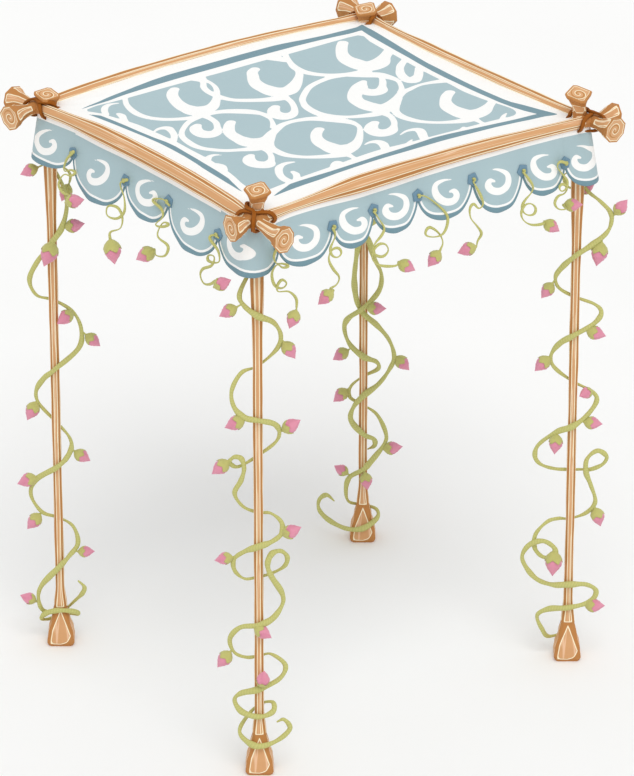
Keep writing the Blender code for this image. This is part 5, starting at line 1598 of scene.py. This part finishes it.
def knotShape(centre, along, down, normal, spin):
    shape = bmesh.new()
    shape.loops.layers.uv.new("surface")
    bmesh.ops.create_circle(shape, cap_ends=True, segments=5, radius=tendrils["knotRadius"])
    base = shape.faces[:]
    raised = bmesh.ops.extrude_face_region(shape, geom=base)["geom"]
    bmesh.ops.translate(shape, verts=[g for g in raised if isinstance(g, bmesh.types.BMVert)],
                        vec=(0, 0, tendrils["knotHeight"] * 0.55))
    top = [g for g in raised if isinstance(g, bmesh.types.BMFace)]
    bmesh.ops.inset_region(shape, faces=top, thickness=0.006, depth=tendrils["knotHeight"] * 0.45)
    bmesh.ops.bevel(shape, geom=shape.edges[:], offset=0.0016, segments=2, profile=0.5, affect="EDGES",
                    material=-1)
    bmesh.ops.subdivide_edges(shape, edges=shape.edges[:], cuts=1, use_grid_fill=True)
    for vert in shape.verts:  # gathered folds run to the middle
        angle = math.atan2(vert.co.y, vert.co.x)
        reach = math.hypot(vert.co.x, vert.co.y)
        if vert.co.z > 0.002:
            vert.co.z += 0.0009 * math.sin(9 * angle) * reach / tendrils["knotRadius"]
    bmesh.ops.recalc_face_normals(shape, faces=shape.faces)
    uvLayer = shape.loops.layers.uv["surface"]
    for face in shape.faces:
        face.smooth = True
        for loop in face.loops:
            loop[uvLayer].uv = (loop.vert.co.x + 0.1, loop.vert.co.y + 0.1)
    place = Matrix((along, -down, normal)).transposed().to_4x4()
    bmesh.ops.transform(shape, verts=shape.verts[:],
                        matrix=Matrix.Translation(centre) @ place @ Matrix.Rotation(spin, 4, "Z"))
    return shape


def buildTendril(side, index, place, route, mirror, size):
    along, out = sideWays[side]
    offset, depth = place
    cloth = sidePoint(side, offset, depth - 0.009)
    down = (-up + out * valance["flare"]).normalized()
    width = (sidePoint(side, offset + 0.02, 0.1) - sidePoint(side, offset - 0.02, 0.1)).normalized()
    normal = down.cross(width).normalized()
    if normal.dot(out) < 0:
        normal = -normal
    across = normal.cross(down).normalized()
    if across.dot(along) < 0:
        across = -across
    knot = cloth + normal * (valance["thickness"] / 2 + 0.0002)
    shape = bmesh.new()
    addTo(shape, knotShape(knot, across, down, normal, 0.9 * index), 3)
    top = knot + normal * (tendrils["knotHeight"] + 0.0030)
    # the stem starts as a small coil on the knot
    line = [(*(top + across * (0.0075 * math.cos(a) * mirror) - down * (0.0075 * math.sin(a))), 0.0042)
            for a in (2.6, 1.2, -0.2, -1.5, -2.8)]
    slide, climb = tendrils["aslant"][side]
    count = len(route)
    points = []
    for k, (a, drop) in enumerate(route):
        proud = tendrils["lift"] + tendrils["liftWave"] * math.sin(1.1 * k + index) * (k < count - 1)
        proud += valance["flare"] * drop * 0.6
        shift = along * (mirror * a + slide * proud)
        points.append(cloth + shift - up * (drop - climb * proud) + out * proud)
    tip = points.pop()
    length = bud["length"] * size
    while (points[-1] - tip).length < length:
        points.pop()
    way = (tip - points[-1]).normalized()
    # the bud is turned to be seen from its side
    way = (way - forwards * way.dot(forwards) * 0.8).normalized()
    base = tip - way * length
    for k, point in enumerate([*points, base]):
        line.append((*point, tendrils["radius"] * (1.05 + 0.45 * math.sin(1.7 * k + index))))
    smooth = vineLine(line, tendrils["spacing"])
    addTo(shape, tubeShape([p[:3] for p in smooth], [max(0.0022, p[3]) for p in smooth], tendrils["columns"]))
    addBud(shape, base - way * 0.002, tip, size)
    finishPiece(f"{side}_tendril_{index}_curl", shape, [stemTape, leafFelt, petalSatin, knotRibbon],
                [f"{side}_tendril_{index}"], closed=False)


def buildTendrils():
    routes = tendrilRoutes()
    for side, plan in tendrils["plan"].items():
        for index, ((letter, mirror), place) in enumerate(zip(plan, valance["notches"][side]), start=1):
            size = tendrils["budSizes"].get(letter, 0.95)
            buildTendril(side, index, place, routes[letter], mirror, size)


buildTendrils()
print("tendrils built")

# Floor, light and camera

studio = {
    "floorSize": 60.0, "floor": "F6F6F5", "floorPale": "FAFAF9", "floorDrop": 0.0005, "sky": (1.0, 1.0, 1.0, 1.0), "skyStrength": 0.77,
    "keyPower": 1.0, "keySpread": 35.0, "keyFrom": (-0.35, -0.75, 1.35),
    "distance": 20.0, "azimuth": -37.34, "elevation": 24.88, "lens": 237.6,
    "aim": (0, 0, 1.2), "nudgeRight": 0.0145, "nudgeUp": -0.0476,
}


def buildStudio():
    made, tree, shader = newMaterial("paleFloor", 0.9)
    cloud = noise(tree, objectPlace(tree), 0.8, 2)
    paint(tree, shader, blend(tree, cloud, hexColour(studio["floor"]), hexColour(studio["floorPale"])))
    shape = bmesh.new()
    bmesh.ops.create_grid(shape, x_segments=4, y_segments=4, size=studio["floorSize"] / 2)
    bmesh.ops.translate(shape, verts=shape.verts, vec=(0, 0, -studio["floorDrop"]))
    mesh = bpy.data.meshes.new("floor")
    shape.to_mesh(mesh)
    shape.free()
    mesh.materials.append(made)
    floor = bpy.data.objects.new("floor", mesh)
    bpy.context.scene.collection.objects.link(floor)

    world = bpy.data.worlds.new("studio")
    bpy.context.scene.world = world
    world.use_nodes = True
    background = world.node_tree.nodes["Background"]
    background.inputs["Color"].default_value = studio["sky"]
    background.inputs["Strength"].default_value = studio["skyStrength"]
    sun = bpy.data.lights.new("key", "SUN")
    sun.energy = studio["keyPower"]
    sun.angle = math.radians(studio["keySpread"])
    key = bpy.data.objects.new("key", sun)
    key.rotation_euler = Vector(studio["keyFrom"]).to_track_quat("Z", "Y").to_euler()
    bpy.context.scene.collection.objects.link(key)

    azimuth, elevation = math.radians(studio["azimuth"]), math.radians(studio["elevation"])
    back = Vector((math.sin(azimuth) * math.cos(elevation), -math.cos(azimuth) * math.cos(elevation),
                   math.sin(elevation)))
    right = Vector((math.cos(azimuth), math.sin(azimuth), 0))
    above = back.cross(right)
    aim = Vector(studio["aim"]) + right * studio["nudgeRight"] + above * studio["nudgeUp"]
    lens = bpy.data.cameras.new("camera")
    lens.lens = studio["lens"]
    lens.sensor_width = 36
    lens.clip_end = 200
    camera = bpy.data.objects.new("camera", lens)
    turn = Matrix((right, above, back)).transposed().to_4x4()
    camera.matrix_world = Matrix.Translation(aim + back * studio["distance"]) @ turn
    bpy.context.scene.collection.objects.link(camera)
    bpy.context.scene.camera = camera
    bpy.context.scene.view_settings.view_transform = "Standard"


buildStudio()
print("studio built")

bpy.context.view_layer.update()
